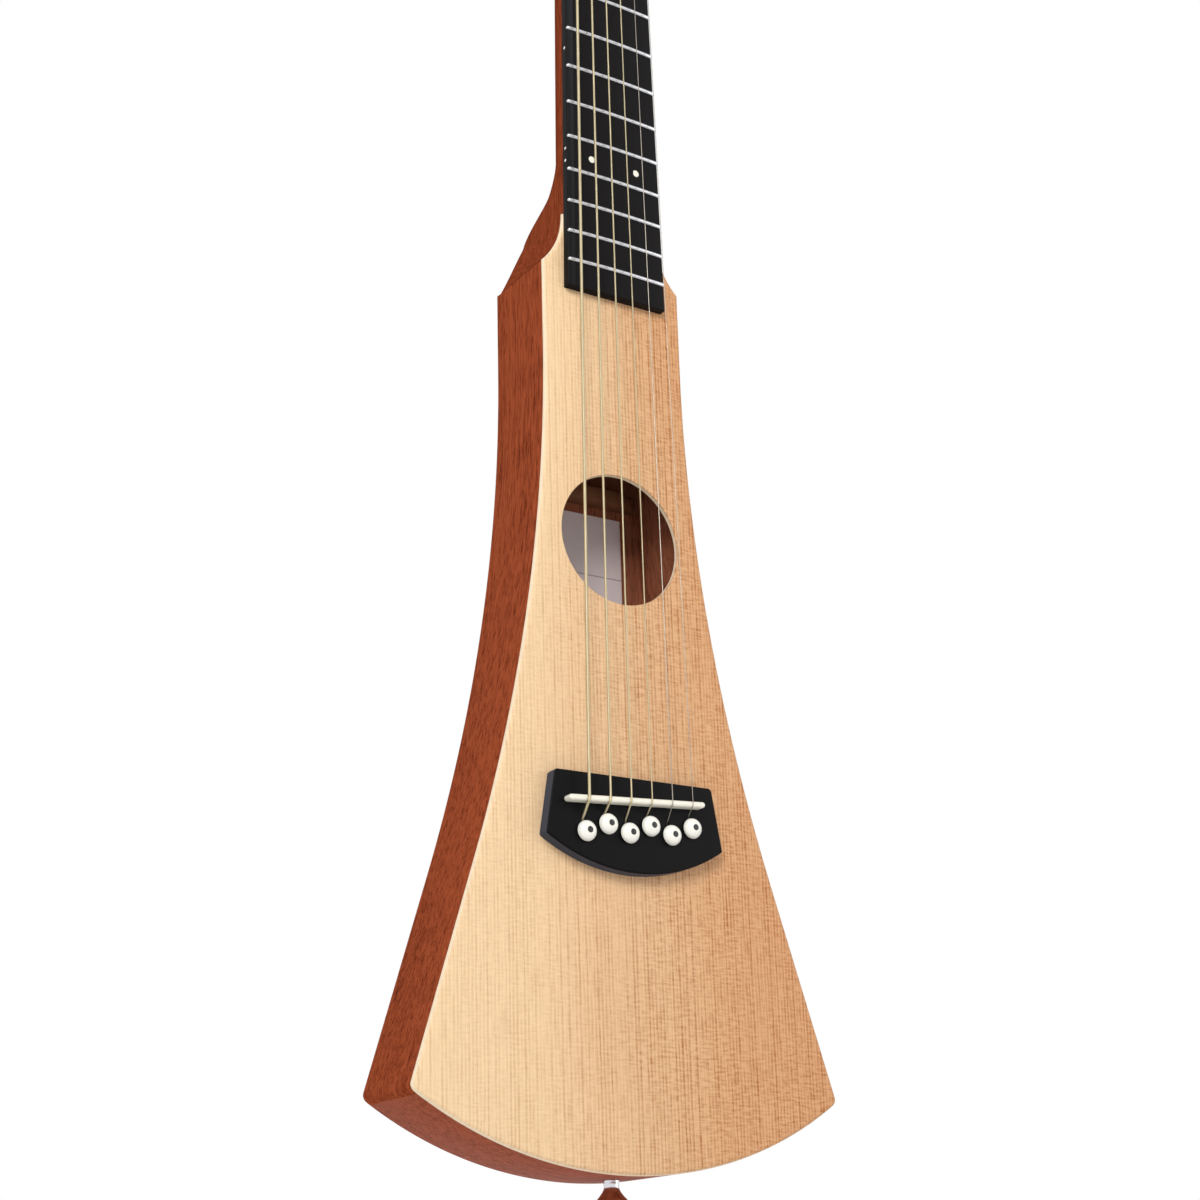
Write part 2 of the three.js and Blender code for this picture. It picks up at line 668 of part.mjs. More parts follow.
function stringRoute(i) {
  const radius = stringRadii[i];
  const postX = postSide(i) * (postFromCentre - windingRadius - glueGap - radius);
  const post = new THREE.Vector3(postX, -windingHeight, postRise(i)).applyMatrix4(headFrame.matrix);
  const atNut = new THREE.Vector3(nutStringX(i), -underNutString - radius, 0);
  const x = saddleStringShift + acrossShare(i) * saddleStringSpread;
  const crestRadius = saddleThickness / 2;
  const centre = new THREE.Vector2(saddlePlace(x), saddleTop - crestRadius);
  const reach = crestRadius + restGap + radius;
  const bend = new THREE.Vector2(pinPlace(i) - entryFromAxis, stringBendHeight);
  const fall = bend.clone().sub(centre);
  const leave = Math.atan2(-fall.y, fall.x) + Math.asin(reach / fall.length());
  const wrap = Array.from({ length: saddleWrapSteps + 1 }, (_, j) => {
    const angle = leave * (j / saddleWrapSteps);
    return new THREE.Vector3(x, -(centre.y + reach * Math.cos(angle)), -(centre.x + reach * Math.sin(angle)));
  });
  const underPlate = cavityNear + bridgePlateThickness;
  const down = [new THREE.Vector3(entryX(i), -stringBendHeight, -bend.x),
    new THREE.Vector3(entryX(i), underPlate + kinkBelowPlate, -bend.x),
    new THREE.Vector3(entryX(i), underPlate + ballBelowPlate, ballFromPinAxis - pinPlace(i))];
  return [post, atNut, ...wrap, ...down];
}

function guitarString(i) {
  const points = stringRoute(i);
  const ball = new THREE.CylinderGeometry(ballRadius, ballRadius, ballLength, ballSegments).rotateZ(Math.PI / 2);
  return join(rod(points, stringRadii[i], stringSides), ball.translate(...points.at(-1).toArray()));
}

// End pin and heel strap button
const turnedSegments = 20;
const endPinHeadRadius = 7.9;
const endPinHeadLength = 12.6;
const endPinHeadShares = [[0.5, 0], [0.5, 0.1], [0.56, 0.3], [0.72, 0.48], [0.92, 0.6], [1, 0.66], [1, 0.73],
  [0.91, 0.84], [0.66, 0.94], [0.33, 1], [0, 1]];
const strapButtonRadius = 6.5;
const strapButtonLength = 11;
const strapButtonFromShoulder = 15;
const strapButtonShares = [[0.66, 0], [0.62, 0.12], [0.45, 0.35], [0.48, 0.6], [0.95, 0.75], [1, 0.85],
  [0.9, 0.97], [0.6, 1], [0, 1]];
const strapScrewRadius = 2;
const strapScrewLength = 14;
const strapButtonPlace = shoulderPlace - strapButtonFromShoulder;

function pinWithHead(shankRadius, shankLength, headShares, radius, length, segments) {
  const head = headShares.map(([r, along]) => [r * radius, glueGap + along * length]);
  return turned([[0, -shankLength], [shankRadius, -shankLength], [shankRadius, glueGap], ...head], segments);
}

function endPin() {
  return pinWithHead(endPinShankRadius, endPinShankLength, endPinHeadShares, endPinHeadRadius,
    endPinHeadLength, turnedSegments).rotateX(-Math.PI / 2).translate(0, endPinDepth, -tailPlace);
}

function heelStrapButton() {
  return pinWithHead(strapScrewRadius, strapScrewLength, strapButtonShares, strapButtonRadius,
    strapButtonLength, turnedSegments).translate(0, bodyDepth, -strapButtonPlace);
}

function strapScrewDrill() {
  return drill(strapScrewRadius + holeGap, 0, strapButtonPlace,
    bodyDepth - strapScrewLength - glueGap, bodyDepth + cutOverrun, drillSegments);
}

// Tuners, in the head's frame
const tunerPlateThickness = 1;
const tunerPlateHalfWidth = 7;
const tunerPlateEndMargin = 5;
const gearTeeth = 14;
const gearRadius = 6;
const gearRootRadius = 4.75;
const gearThickness = 3;
const gearToothBaseShare = 0.34;
const gearToothTipShare = 0.13;
const wormRadius = 2.6;
const wormRootRadius = 1.5;
const wormTurns = 2.5;
const wormStepsPerTurn = 8;
const wormThreadBase = 1.1;
const wormThreadCrest = 0.6;
const wormFromPost = 7.6;
const wormPlateGap = 0.4;
const wormCoreSegments = 10;
const wormPitch = (2 * Math.PI * (wormFromPost - (wormRadius + wormRootRadius) / 2 - slotGap / 2)) / gearTeeth;
const lugThickness = 1.5;
const lugFromPost = 5.5;
const lugHalfWidth = 3.2;
const lugPastShaft = 3;
const shaftRadius = 1.3;
const shaftEndPastLug = 0.8;
const postTopHeight = 9;
const postTopChamfer = 0.5;
const postEndPastGear = 1.1;
const postSegments = 12;
const buttonFromPost = 14.5;
const buttonLength = 14.5;
const buttonHalfHeight = 7.2;
const buttonThicknessShare = 0.52;
const buttonShares = [[0.26, 0], [0.34, 0.1], [0.78, 0.34], [1, 0.62], [0.93, 0.84], [0.6, 0.98], [0, 1]];
const buttonSegments = 12;
const tunerPlateNear = headThickness + glueGap;
const tunerPlateFar = tunerPlateNear + tunerPlateThickness;
const wormDepth = tunerPlateFar + wormPlateGap + wormRadius;
const wormRise = (i) => postRise(i) - wormFromPost;
const sideStrings = (side) => Array.from({ length: stringCount }, (_, i) => i).filter((i) => postSide(i) === side);

function shaftHole(x, i) {
  const radius = shaftRadius + holeGap;
  const geometry = new THREE.CylinderGeometry(radius, radius, lugThickness + cutOverrun, drillSegments);
  return geometry.rotateZ(Math.PI / 2).translate(x, wormDepth, wormRise(i));
}

function tunerPlate(side) {
  const centre = side * postFromCentre;
  const members = sideStrings(side);
  const rises = members.map(postRise);
  const base = block([centre - tunerPlateHalfWidth, centre + tunerPlateHalfWidth], [tunerPlateNear, tunerPlateFar],
    [-Math.max(...rises) - gearRadius - tunerPlateEndMargin,
      tunerPlateEndMargin + wormFromPost - Math.min(...rises)]);
  const lugs = members.flatMap((i) => [-1, 1].map((end) => {
    const x = centre + end * lugFromPost;
    return block([x - lugThickness / 2, x + lugThickness / 2], [tunerPlateNear, wormDepth + lugPastShaft],
      [-wormRise(i) - lugHalfWidth, lugHalfWidth - wormRise(i)]);
  }));
  const shaftHoles = members.flatMap((i) => [-1, 1].map((end) => shaftHole(centre + end * lugFromPost, i)));
  const postHoles = members.map((i) => drill(postRadius + holeGap, centre, -postRise(i),
    tunerPlateNear - cutOverrun, tunerPlateFar + cutOverrun, drillSegments));
  return cut(join(base, ...lugs), ...shaftHoles, ...postHoles);
}

// A gear with one tooth facing down towards the worm
function gear() {
  const step = (2 * Math.PI) / gearTeeth;
  const points = Array.from({ length: gearTeeth }, (_, k) => k).flatMap((k) => {
    const corners = [[-gearToothBaseShare, gearRootRadius], [-gearToothTipShare, gearRadius],
      [gearToothTipShare, gearRadius], [gearToothBaseShare, gearRootRadius]];
    return corners.map(([share, r]) => {
      const angle = (k + share) * step;
      return [r * Math.sin(angle), r * Math.cos(angle)];
    });
  });
  return plate(points, wormDepth - gearThickness / 2, wormDepth + gearThickness / 2);
}

function tunerPost(i) {
  const end = wormDepth + gearThickness / 2 + postEndPastGear;
  const windingTop = -windingHeight - windingHalfLength;
  const windingEnd = windingHalfLength - windingHeight;
  const profile = [[0, -postTopHeight], [postRadius - postTopChamfer, -postTopHeight],
    [postRadius, postTopChamfer - postTopHeight], [postRadius, windingTop], [windingRadius, windingTop],
    [windingRadius, windingEnd], [postRadius, windingEnd], [postRadius, end], [0, end]];
  return join(turned(profile, postSegments), gear()).translate(postSide(i) * postFromCentre, 0, postRise(i));
}

// The worm's thread leaves a gap at the post's centre line, where the gear's tooth stands
function wormThread() {
  const steps = wormTurns * wormStepsPerTurn;
  const corners = [[shaftRadius, -wormThreadBase / 2], [wormRadius, -wormThreadCrest / 2],
    [wormRadius, wormThreadCrest / 2], [shaftRadius, wormThreadBase / 2]];
  const rings = Array.from({ length: steps + 1 }, (_, j) => {
    const turn = wormTurns * (j / steps - 0.5);
    const angle = 2 * Math.PI * turn - Math.PI;
    return corners.map(([r, along]) => new THREE.Vector3(
      wormPitch * turn + along, r * Math.sin(angle), r * Math.cos(angle)));
  });
  return loft(rings);
}

function alongX(profile, segments) {
  return turned(profile, segments).rotateZ(-Math.PI / 2);
}

function tunerKnob(i) {
  const side = postSide(i);
  const wormHalf = (wormTurns / 2) * wormPitch + wormThreadBase / 2;
  const inner = -lugFromPost - lugThickness / 2 - shaftEndPastLug;
  const shaft = alongX([[0, inner], [shaftRadius, inner], [shaftRadius, -wormHalf], [wormRootRadius, -wormHalf],
    [wormRootRadius, wormHalf], [shaftRadius, wormHalf], [shaftRadius, buttonFromPost + buttonLength / 2],
    [0, buttonFromPost + buttonLength / 2]], wormCoreSegments);
  const outline = buttonShares.map(([r, along]) => [r * buttonHalfHeight, buttonFromPost + along * buttonLength]);
  const button = alongX([[0, buttonFromPost], ...outline], buttonSegments).scale(1, buttonThicknessShare, 1);
  const knob = join(shaft, button);
  if (side < 0) knob.rotateY(Math.PI);
  return join(knob, wormThread()).translate(side * postFromCentre, wormDepth, wormRise(i));
}

// Assembly
const guitar = new THREE.Group();

function add(parent, name, geometry, finish) {
  const mesh = new THREE.Mesh(geometry, finish);
  mesh.name = name;
  parent.add(mesh);
}

add(guitar, 'soundboard', soundboard(), spruce);
add(guitar, 'back_panel', backPanel(), mahogany);
add(guitar, 'left_side', sideWall(-1), mahogany);
add(guitar, 'right_side', sideWall(1), mahogany);
add(guitar, 'tail_rim', tailRim(), mahogany);
add(guitar, 'tail_block', tailBlock(), innerWood);
add(guitar, 'upper_brace', brace(holePlace - upperBraceFromHole, false), innerWood);
add(guitar, 'middle_brace', brace(holePlace + middleBraceFromHole, false), innerWood);
add(guitar, 'lower_brace', brace(lowerBracePlace, false), innerWood);
add(guitar, 'back_brace', brace(holePlace - backBraceFromHole, true), innerWood);
add(guitar, 'bridge_plate', bridgePlate(), innerWood);
add(guitar, 'label', label(), paper);
add(guitar, 'neck', neck(), mahogany);
add(guitar, 'fingerboard', fingerboard(), blackBoard);
add(guitar, 'nut', nut(), bone);
for (let number = 1; number <= fretCount; number += 1) {
  add(guitar, `fret_${number}`, fret(number), fretMetal);
}
add(guitar, 'bridge', bridge(), blackBridge);
add(guitar, 'saddle', saddle(), bone);
add(guitar, 'end_pin', endPin(), chrome);
add(guitar, 'heel_strap_button', heelStrapButton(), chrome);
add(headFrame, 'tuner_plate_bass', tunerPlate(-1), machineSteel);
add(headFrame, 'tuner_plate_treble', tunerPlate(1), machineSteel);
for (let i = 0; i < stringCount; i += 1) {
  const number = stringCount - i;
  add(guitar, `bridge_pin_${number}`, bridgePin(i), pinPlastic);
  add(guitar, `string_${number}`, guitarString(i), number > 2 ? woundString : plainString);
  add(headFrame, `tuner_post_${number}`, tunerPost(i), chrome);
  add(headFrame, `tuner_knob_${number}`, tunerKnob(i), chrome);
}
guitar.add(headFrame);

export default guitar;
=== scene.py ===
"""A six-string travel guitar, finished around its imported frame.

Lengths are in metres. +Z runs up the neck, the strings lie in front of the face towards -Y, and
the bass side is at -X. A place is a distance down from the nut, a depth is a distance behind the
soundboard's face, and a rise is a distance above the nut.
"""
import math

import bmesh
import bpy
from bpy.props import FloatProperty, FloatVectorProperty, IntProperty, PointerProperty
from mathutils import Matrix, Vector


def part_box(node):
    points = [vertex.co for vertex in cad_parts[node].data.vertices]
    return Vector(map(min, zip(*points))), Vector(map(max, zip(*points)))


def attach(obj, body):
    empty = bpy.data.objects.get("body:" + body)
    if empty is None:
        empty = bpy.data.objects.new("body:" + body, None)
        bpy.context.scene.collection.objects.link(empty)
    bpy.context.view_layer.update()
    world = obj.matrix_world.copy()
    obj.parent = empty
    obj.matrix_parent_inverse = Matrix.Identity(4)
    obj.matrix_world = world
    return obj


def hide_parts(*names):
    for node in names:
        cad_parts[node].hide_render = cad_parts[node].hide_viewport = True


bl_info = {
    "name": "Travel guitar",
    "version": (1, 0, 0),
    "blender": (4, 5, 0),
    "location": "View3D > Sidebar > Travel guitar",
    "description": "Builds the finished pieces of a six-string travel guitar around its frame",
    "category": "Object",
}

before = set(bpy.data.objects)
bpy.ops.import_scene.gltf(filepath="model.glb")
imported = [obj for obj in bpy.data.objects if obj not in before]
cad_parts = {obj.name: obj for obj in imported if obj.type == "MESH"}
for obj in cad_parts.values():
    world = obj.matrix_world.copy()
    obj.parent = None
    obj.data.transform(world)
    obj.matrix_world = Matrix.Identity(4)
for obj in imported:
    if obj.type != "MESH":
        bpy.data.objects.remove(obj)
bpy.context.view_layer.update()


def mm(length):
    """Millimetres as metres."""
    return length / 1000


def lowest(node):
    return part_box(node)[0]


def highest(node):
    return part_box(node)[1]


# Neck and strings
SCALE_LENGTH = mm(609.6)
SEMITONES = 12
FRET_COUNT = 15
STRING_COUNT = 6
STRINGS = range(STRING_COUNT)
NUT_THICKNESS = highest("nut").z
NUT_WIDTH = highest("nut").x * 2
BOARD_END_WIDTH = highest("fingerboard").x * 2
BOARD_LENGTH = -lowest("fingerboard").z
BOARD_THICKNESS = -lowest("fingerboard").y
BOARD_END_BREAK = mm(0.25)
# Width and fade of the painted reflection on the board's face beside the lowest string.
REFLECTION_STRIP_WIDTH = mm(3.6)
REFLECTION_STRIP_FADE = mm(0.4)
STRING_RADII = [mm(r) for r in (0.68, 0.53, 0.41, 0.31, 0.21, 0.16)]
NUT_STRING_SPREAD = mm(37.4)
NUT_STRING_SHIFT = mm(1.2)
SADDLE_STRING_SPREAD = mm(53.8)
SADDLE_STRING_SHIFT = mm(-0.9)
BASS_COMPENSATION = mm(3.9)
TREBLE_COMPENSATION = mm(1.0)
STRING_CLEAR_AT_NUT = mm(1.4)
STRING_HEIGHT_AT_SADDLE = mm(11)
WOUND_COUNT = 4
NUT_ABOVE_STRINGS = mm(0.8)
NUT_CORNER = mm(1.2)
NUT_EDGE = mm(0.5)
NUT_SLOT_SLACK = mm(0.05)
NUT_SLOT_RUN = mm(9)
NUT_SLOT_HEIGHT = mm(2.5)
BALL_HALF_WIDTH = mm(1.6)
BALL_WAIST_RADIUS = mm(1.3)
BALL_FLANGE_RADIUS = mm(1.8)
BALL_FLANGE_THICKNESS = mm(0.5)
BALL_BELOW_PLATE = mm(2)
BALL_ABOVE_PIN = mm(4.4)
BEND_BELOW_PLATE = mm(0.6)
BEND_START_SHARE = 0.86
BEND_END_SHARE = 0.2

# Body
BODY_DEPTH = highest("back_panel").y
BACK_DEPTH = lowest("back_panel").y
SOUNDBOARD_DEPTH = highest("soundboard").y
SHOULDER_PLACE = -highest("back_panel").z
SCOOP_PLACE = -highest("soundboard").z
TAIL_PLACE = -lowest("back_panel").z
SCOOP_LENGTH = SHOULDER_PLACE - SCOOP_PLACE
SCOOP_RADIUS = mm(36.8)
WAIST_HALF_WIDTH = mm(37.8)
FLARE_PLACE = SHOULDER_PLACE + mm(41)
FLARE_RADIUS = mm(818)
FLARE_ANGLE = 0.3055
TAIL_ARC_RADIUS = mm(188)
TAIL_CENTRE_PLACE = TAIL_PLACE - TAIL_ARC_RADIUS
CORNER_BREAK = mm(2.6)
SIDE_THICKNESS = mm(4)
RIM_THICKNESS = mm(5)
HOLE_PLACE = SHOULDER_PLACE + mm(134)
HOLE_RADIUS = mm(31.2)
TAIL_SEAM_GAP = mm(0.04)
INNER_EDGE_BREAK = mm(0.5)
INSIDE_MARGIN = mm(0.1)
LABEL_EDGE_BREAK = mm(0.05)
LABEL_RULE_WIDTH = mm(0.6)
LABEL_RULE_BELOW_HOLE = mm(1.5)

# Frets and position dots
FRET_END_SHARES = [(0, 0.34), (0.0035, 0.62), (0.008, 0.86), (0.015, 1)]
FRET_FOOT = mm(0.3)
FRET_END_INSET = mm(0.1)
DOTTED_FRETS = (5, 7, 9)
DOT_SUNK = mm(0.6)
DOT_LIFT = mm(0.04)
DOT_EDGE = mm(0.06)
OCTAVE_DOT_SHIFT = mm(0.6)
FACE_DOT_FROM_CENTRE = mm(12.6)
SIDE_DOT_HALF_GAP = mm(3.35)
SIDE_DOT_HEIGHT_SHARE = 0.45

# Neck, heel and head
NECK_DEPTH_AT_NUT = mm(17.4)
NECK_DEPTH_AT_HEEL = mm(19)
NECK_ROUNDNESS = 2.6
HEEL_ROUNDNESS = 17
HEEL_TOP_PLACE = SHOULDER_PLACE - mm(60)
HEEL_FULL_FROM_SHOULDER = mm(27)
HEEL_SQUARE_FROM_SHOULDER = mm(46)
HEEL_REAR_FULLNESS_SHARE = 0.9
BLOCK_LENGTH = mm(38)
BLOCK_GAP = mm(0.3)
BLEND_RISE = mm(23)
BLEND_HALF_WIDTH_SHARE = 0.75
BLEND_SINK = mm(0.4)
HEAD_TILT = math.radians(12)
HEAD_THICKNESS = mm(14)
HEAD_HALF_WIDTH = mm(31)
HEAD_LENGTH = mm(100)
HEAD_FOOT_INSET = mm(0.3)
HEAD_CORNER_SHARES = [(0.9, 0.115), (0.925, 0.23), (1, 0.9), (0.95, 0.955), (0.8, 0.985), (0, 1)]
HEAD_CORNER_ROUNDS = [mm(r) for r in (4, 3, 9, 5, 9, 20)]
HEAD_FRAME = Matrix.Translation((0, 0, NUT_THICKNESS)) @ Matrix.Rotation(-HEAD_TILT, 4, "X")

# Bridge, saddle and pins
SADDLE_CENTRE_PLACE = SCALE_LENGTH + (BASS_COMPENSATION + TREBLE_COMPENSATION) / 2
SADDLE_SLANT = (BASS_COMPENSATION - TREBLE_COMPENSATION) / SADDLE_STRING_SPREAD
SADDLE_THICKNESS = mm(2.6)
SADDLE_HALF_LENGTH = mm(35)
SADDLE_ROUND_SHARE = 0.42
SADDLE_SHIFT = mm(-1.9)
SADDLE_SUNK = mm(3.2)
REST_GAP = mm(0.12)
SADDLE_TOP = STRING_HEIGHT_AT_SADDLE - REST_GAP
BRIDGE_THICKNESS = -lowest("bridge").y
BRIDGE_SHIFT = mm(-0.7)
BRIDGE_TOP_HALF_WIDTH = mm(40.6)
BRIDGE_TOP_FROM_SADDLE = mm(10.9)
BRIDGE_CORNER = mm(1.1)
BRIDGE_ARC_RADIUS = mm(82)
BRIDGE_ARC_FROM_SADDLE = mm(30.8)
BRIDGE_HALF_WIDTH = mm(45.1)
BRIDGE_TOP_ROUND = mm(0.5)
BRIDGE_END_ROUND = mm(1)
SADDLE_SLOT_SLACK = mm(0.08)
RAMP_SLACK = mm(0.3)
RAMP_HEIGHT = mm(9)
RAMP_OVERRUN = mm(0.4)
RAMP_START_SHARE = 0.38
PIN_SPREAD = mm(54.5)
PIN_SHIFT = mm(0.7)
PIN_ROW_FROM_SADDLE = mm(11.8)
PIN_STAGGER = mm(1.75)
PIN_SHANK_RADIUS = mm(2.5)
PIN_HEAD_RADIUS = mm(4.5)
PIN_HEAD_HEIGHT = mm(3.4)
PIN_LENGTH = mm(24)
PIN_TIP_RADIUS = mm(2)
PIN_HOLE_RADIUS = mm(2.8)
PIN_SEAT_GAP = mm(0.3)
PIN_TIP_ROUND = mm(0.4)
PIN_COLLAR_STEP = mm(0.2)
PIN_COLLAR_FROM_HEAD = mm(0.15)
PIN_FLUTE_WIDTH = mm(1.8)
PIN_FLUTE_ABOVE_BRIDGE = mm(0.25)
PIN_DOT_SUNK = mm(0.6)
PIN_DOT_BED = mm(0.12)
PIN_DOT_STEP = mm(0.05)
PIN_DOT_GAP = mm(0.02)
PIN_DOT_SHARES = [(1, -0.4), (0.7, 0.6), (0, 1)]
PIN_DOT_RISE = mm(0.05)
PIN_HEAD_SHARES = [(0.92, 0), (1, 0.1), (1, 0.2), (0.93, 0.48), (0.76, 0.74), (0.5, 0.93), (0.31, 1)]
STRING_FROM_PIN_AXIS = mm(1.97)
STRING_BESIDE_PIN_AXIS = mm(1.1)
STRING_BEFORE_PIN_AXIS = math.sqrt(STRING_FROM_PIN_AXIS**2 - STRING_BESIDE_PIN_AXIS**2)
PIN_FLUTE_FROM_AXIS = STRING_BEFORE_PIN_AXIS - STRING_RADII[0] - REST_GAP
STRING_BEND_HEIGHT = mm(2.4)
BRIDGE_PLATE_DEPTH = highest("bridge_plate").y

# Tuners, in the head's frame
POST_FROM_CENTRE = mm(21)
FIRST_POST_RISE = mm(25)
POST_SPACING = mm(29)
POST_RADIUS = mm(3)
POST_TOP_HEIGHT = mm(9)
WINDING_HEIGHT = mm(5)
STRING_HOLE_HEIGHT = mm(7.8)
STRING_HOLE_RADIUS = mm(0.75)
POST_WAIST_RADIUS = POST_RADIUS - mm(0.25)
POST_WAIST_FROM, POST_WAIST_TO = mm(-6.6), mm(-3.4)
POST_WAIST_SLOPE = mm(0.5)
POST_TOP_ROUND = mm(0.6)
POST_CREST = mm(0.15)
POST_END_ROUND = mm(0.4)
POST_SCREW_RADIUS = mm(0.9)
POST_SCREW_DEPTH = mm(0.5)
POST_PAST_GEAR = mm(1.1)
POST_BORE_RADIUS = mm(3.5)
MOST_TURNS = 5
TURNS_FULLNESS_SHARE = 0.98
BUSHING_RADIUS = mm(5)
BUSHING_FLANGE = mm(1)
BUSHING_HEIGHT = mm(1.1)
BUSHING_FOOT = mm(-1.2)
BUSHING_EDGE = mm(0.3)
BUSHING_GAP = mm(0.25)
BUSHING_EDGE_SHARES = [(0, 2), (0.4, 0.6), (1.4, 0)]
PLATE_DEPTH = HEAD_THICKNESS + mm(1.3)
PLATE_THICKNESS = mm(1)
PLATE_HALF_WIDTH = mm(7)
PLATE_MARGIN = mm(5)
PLATE_CORNER = mm(3.4)
PLATE_EDGE = mm(0.22)
PLATE_HOLE_GAP = mm(0.3)
SCREW_RISES = [mm(rise) for rise in (37.1, 66.1, 91.5)]
EAR_THICKNESS = mm(1.5)
EAR_RADIUS = mm(3)
EAR_FROM_POST = mm(5.5)
EAR_FOOT_SPREAD = mm(0.3)
EAR_HOLE_GAP = mm(0.15)
EAR_FOOT_SHARE = 0.6
WORM_DEPTH = mm(18.3)
WORM_FROM_POST = mm(7.6)
WORM_RADIUS = mm(2.6)
WORM_ROOT_RADIUS = mm(1.5)
WORM_TURNS = 2.5
WORM_BASE = mm(1.1)
WORM_CREST = mm(0.6)
WORM_CREST_ROUND = mm(0.1)
WORM_CREST_WIDER = mm(0.03)
WORM_CREST_NARROWER = mm(0.07)
GEAR_TEETH = 14
GEAR_RADIUS = mm(6)
GEAR_ROOT_RADIUS = mm(4.75)
GEAR_THICKNESS = mm(3)
GEAR_EDGE = mm(0.2)
TOOTH_SHARES = (-0.36, -0.24, -0.12, 0.12, 0.24, 0.36)
MESH_GAP = mm(0.2)
WORM_PITCH = 2 * math.pi * (WORM_FROM_POST - (WORM_RADIUS + WORM_ROOT_RADIUS + MESH_GAP) / 2) / GEAR_TEETH
SHAFT_RADIUS = mm(1.3)
SHAFT_START = mm(-7.05)
BUTTON_FROM_POST = mm(14.5)
BUTTON_LENGTH = mm(14.5)
BUTTON_HALF_HEIGHT = mm(7.2)
BUTTON_THICKNESS_SHARE = 0.52
BUTTON_SHARES = [(0.26, 0), (0.34, 0.1), (0.78, 0.34), (1, 0.62), (0.93, 0.84), (0.6, 0.98), (0, 1)]
SHAFT_END_BREAK = mm(0.2)
SCREW_FOOT = mm(-0.3)
SCREW_TURN = 0.5
SCREW_HEIGHT_SHARE = 0.5
SCREW_WALL_SHARE = 0.2
SCREW_SLOT_SHARE = 0.14
SCREW_SLOT_FLOOR_SHARE = 0.45

# End pin and strap button
STRAP_PIN_GAP = mm(0.3)
END_PIN_DEPTH = BODY_DEPTH / 2
END_PIN_RADIUS = mm(7.9)
END_PIN_HEAD_LENGTH = mm(12.6)
END_PIN_SHANK_RADIUS = mm(3)
END_PIN_SHANK_LENGTH = mm(22)
END_PIN_BORE_RADIUS = mm(3.2)
END_PIN_SHARES = [(0.43, 0), (0.43, 0.1), (0.45, 0.3), (0.63, 0.47), (0.86, 0.62), (0.97, 0.7), (1, 0.77),
                  (0.93, 0.86), (0.66, 0.95), (0.33, 1)]
HEEL_BUTTON_PLACE = SHOULDER_PLACE - mm(15)
HEEL_BUTTON_RADIUS = mm(6.5)
HEEL_BUTTON_HEAD_LENGTH = mm(11)
HEEL_BUTTON_SHANK_RADIUS = mm(2)
HEEL_BUTTON_SHANK_LENGTH = mm(14)
HEEL_BUTTON_BORE_RADIUS = mm(2.3)
HEEL_BUTTON_BORE_DEPTH = mm(14.3)
HEEL_BUTTON_SHARES = [(0.66, 0), (0.62, 0.12), (0.45, 0.35), (0.48, 0.6), (0.95, 0.75), (1, 0.85),
                      (0.9, 0.97), (0.6, 1)]

# Finishes
# Depths over which the soundboard's rim turns paler: partly fresh wood, partly a painted highlight.
RIM_AND_HIGHLIGHT_FADE = mm(0.2), mm(1.2)
BOARD_SIDE_FADE = mm(0.3), mm(0.9)
# Depths over which the bridge's sides take their painted reflection.
BRIDGE_REFLECTION_FADE = mm(0.3), mm(1)
SPRUCE_RELIEF = mm(0.02)
PORE_RELIEF = mm(0.03)
INNER_WOOD_RELIEF = mm(0.05)
BLACK_WOOD_RELIEF = mm(0.02)
BONE_RELIEF = mm(0.01)
WRAP_RELIEF = mm(0.05)
PLATE_RELIEF = mm(0.01)

# Studio
CAMERA_LENS = 61.74
CAMERA_SENSOR = 36
CAMERA_SHIFT = (-0.0274, -0.0007)
CAMERA_EYE = Vector((-0.4824, -0.7250, -0.8261))
CAMERA_AIM = Vector((0.0055, 0, -0.5158))
CAMERA_ROLL = math.radians(1.957)
WHITE = (1, 1, 1, 1)
AMBIENT_LIGHT = 0.34
FLOOR_LIFT_SHARE = 0.7
FLOOR_HALF_WIDTH = 3.0
FLOOR_BELOW_PIN = mm(80)
LIT_MIDDLE = (0, 0.02, -0.5)
LAMPS = {
    "key_lamp": ((-1.1, -1.4, 0.4), (0.7, 0.9), 27),
    "fill_lamp": ((1.5, -1.2, -0.3), (1.2, 1.4), 8),
    "rear_lamp": ((0.6, 1.6, 0.4), (1.2, 1.0), 10),
}

# Mesh making
FACE_HOLD = mm(0.12)
HOLE_EDGE_SHARE = 0.3
OVERRUN = mm(2)
WELD = 1e-7
COPY_WELD = mm(0.001)
FLAT_ANGLE = math.radians(1)
HARD_ANGLE = math.radians(30)
SMOOTH_DEGREES = 40.0


def at(x, depth, place):
    return Vector((x, depth, -place))


def between(a, b, share):
    return a + (b - a) * share


def shares(count):
    """Even shares from 0 to 1."""
    return [i / count for i in range(count + 1)]


def angles(span, steps):
    """Even angles from 0 to a span."""
    return [span * s for s in shares(steps)]


def polar(radius, angle, along=0.0):
    """A point round the Z axis."""
    return Vector((radius * math.cos(angle), radius * math.sin(angle), along))


def bow(start, corner, end, steps):
    """A curve between two points that is drawn towards a corner."""
    return [(1 - s) ** 2 * start + 2 * s * (1 - s) * corner + s**2 * end for s in shares(steps)]


def ease(share):
    s = min(max(share, 0), 1)
    return s * s * (3 - 2 * s)


def curve_through(points, steps):
    """A smooth line through points of a profile."""
    line = []
    for i in range(len(points) - 1):
        p0, p1, p2, p3 = (Vector(points[min(max(i + k, 0), len(points) - 1)]) for k in (-1, 0, 1, 2))
        for s in shares(steps)[:-1]:
            line.append(0.5 * ((2 * p1) + (p2 - p0) * s + (2 * p0 - 5 * p1 + 4 * p2 - p3) * s**2
                               + (3 * p1 - p0 - 3 * p2 + p3) * s**3))
    return line + [Vector(points[-1])]


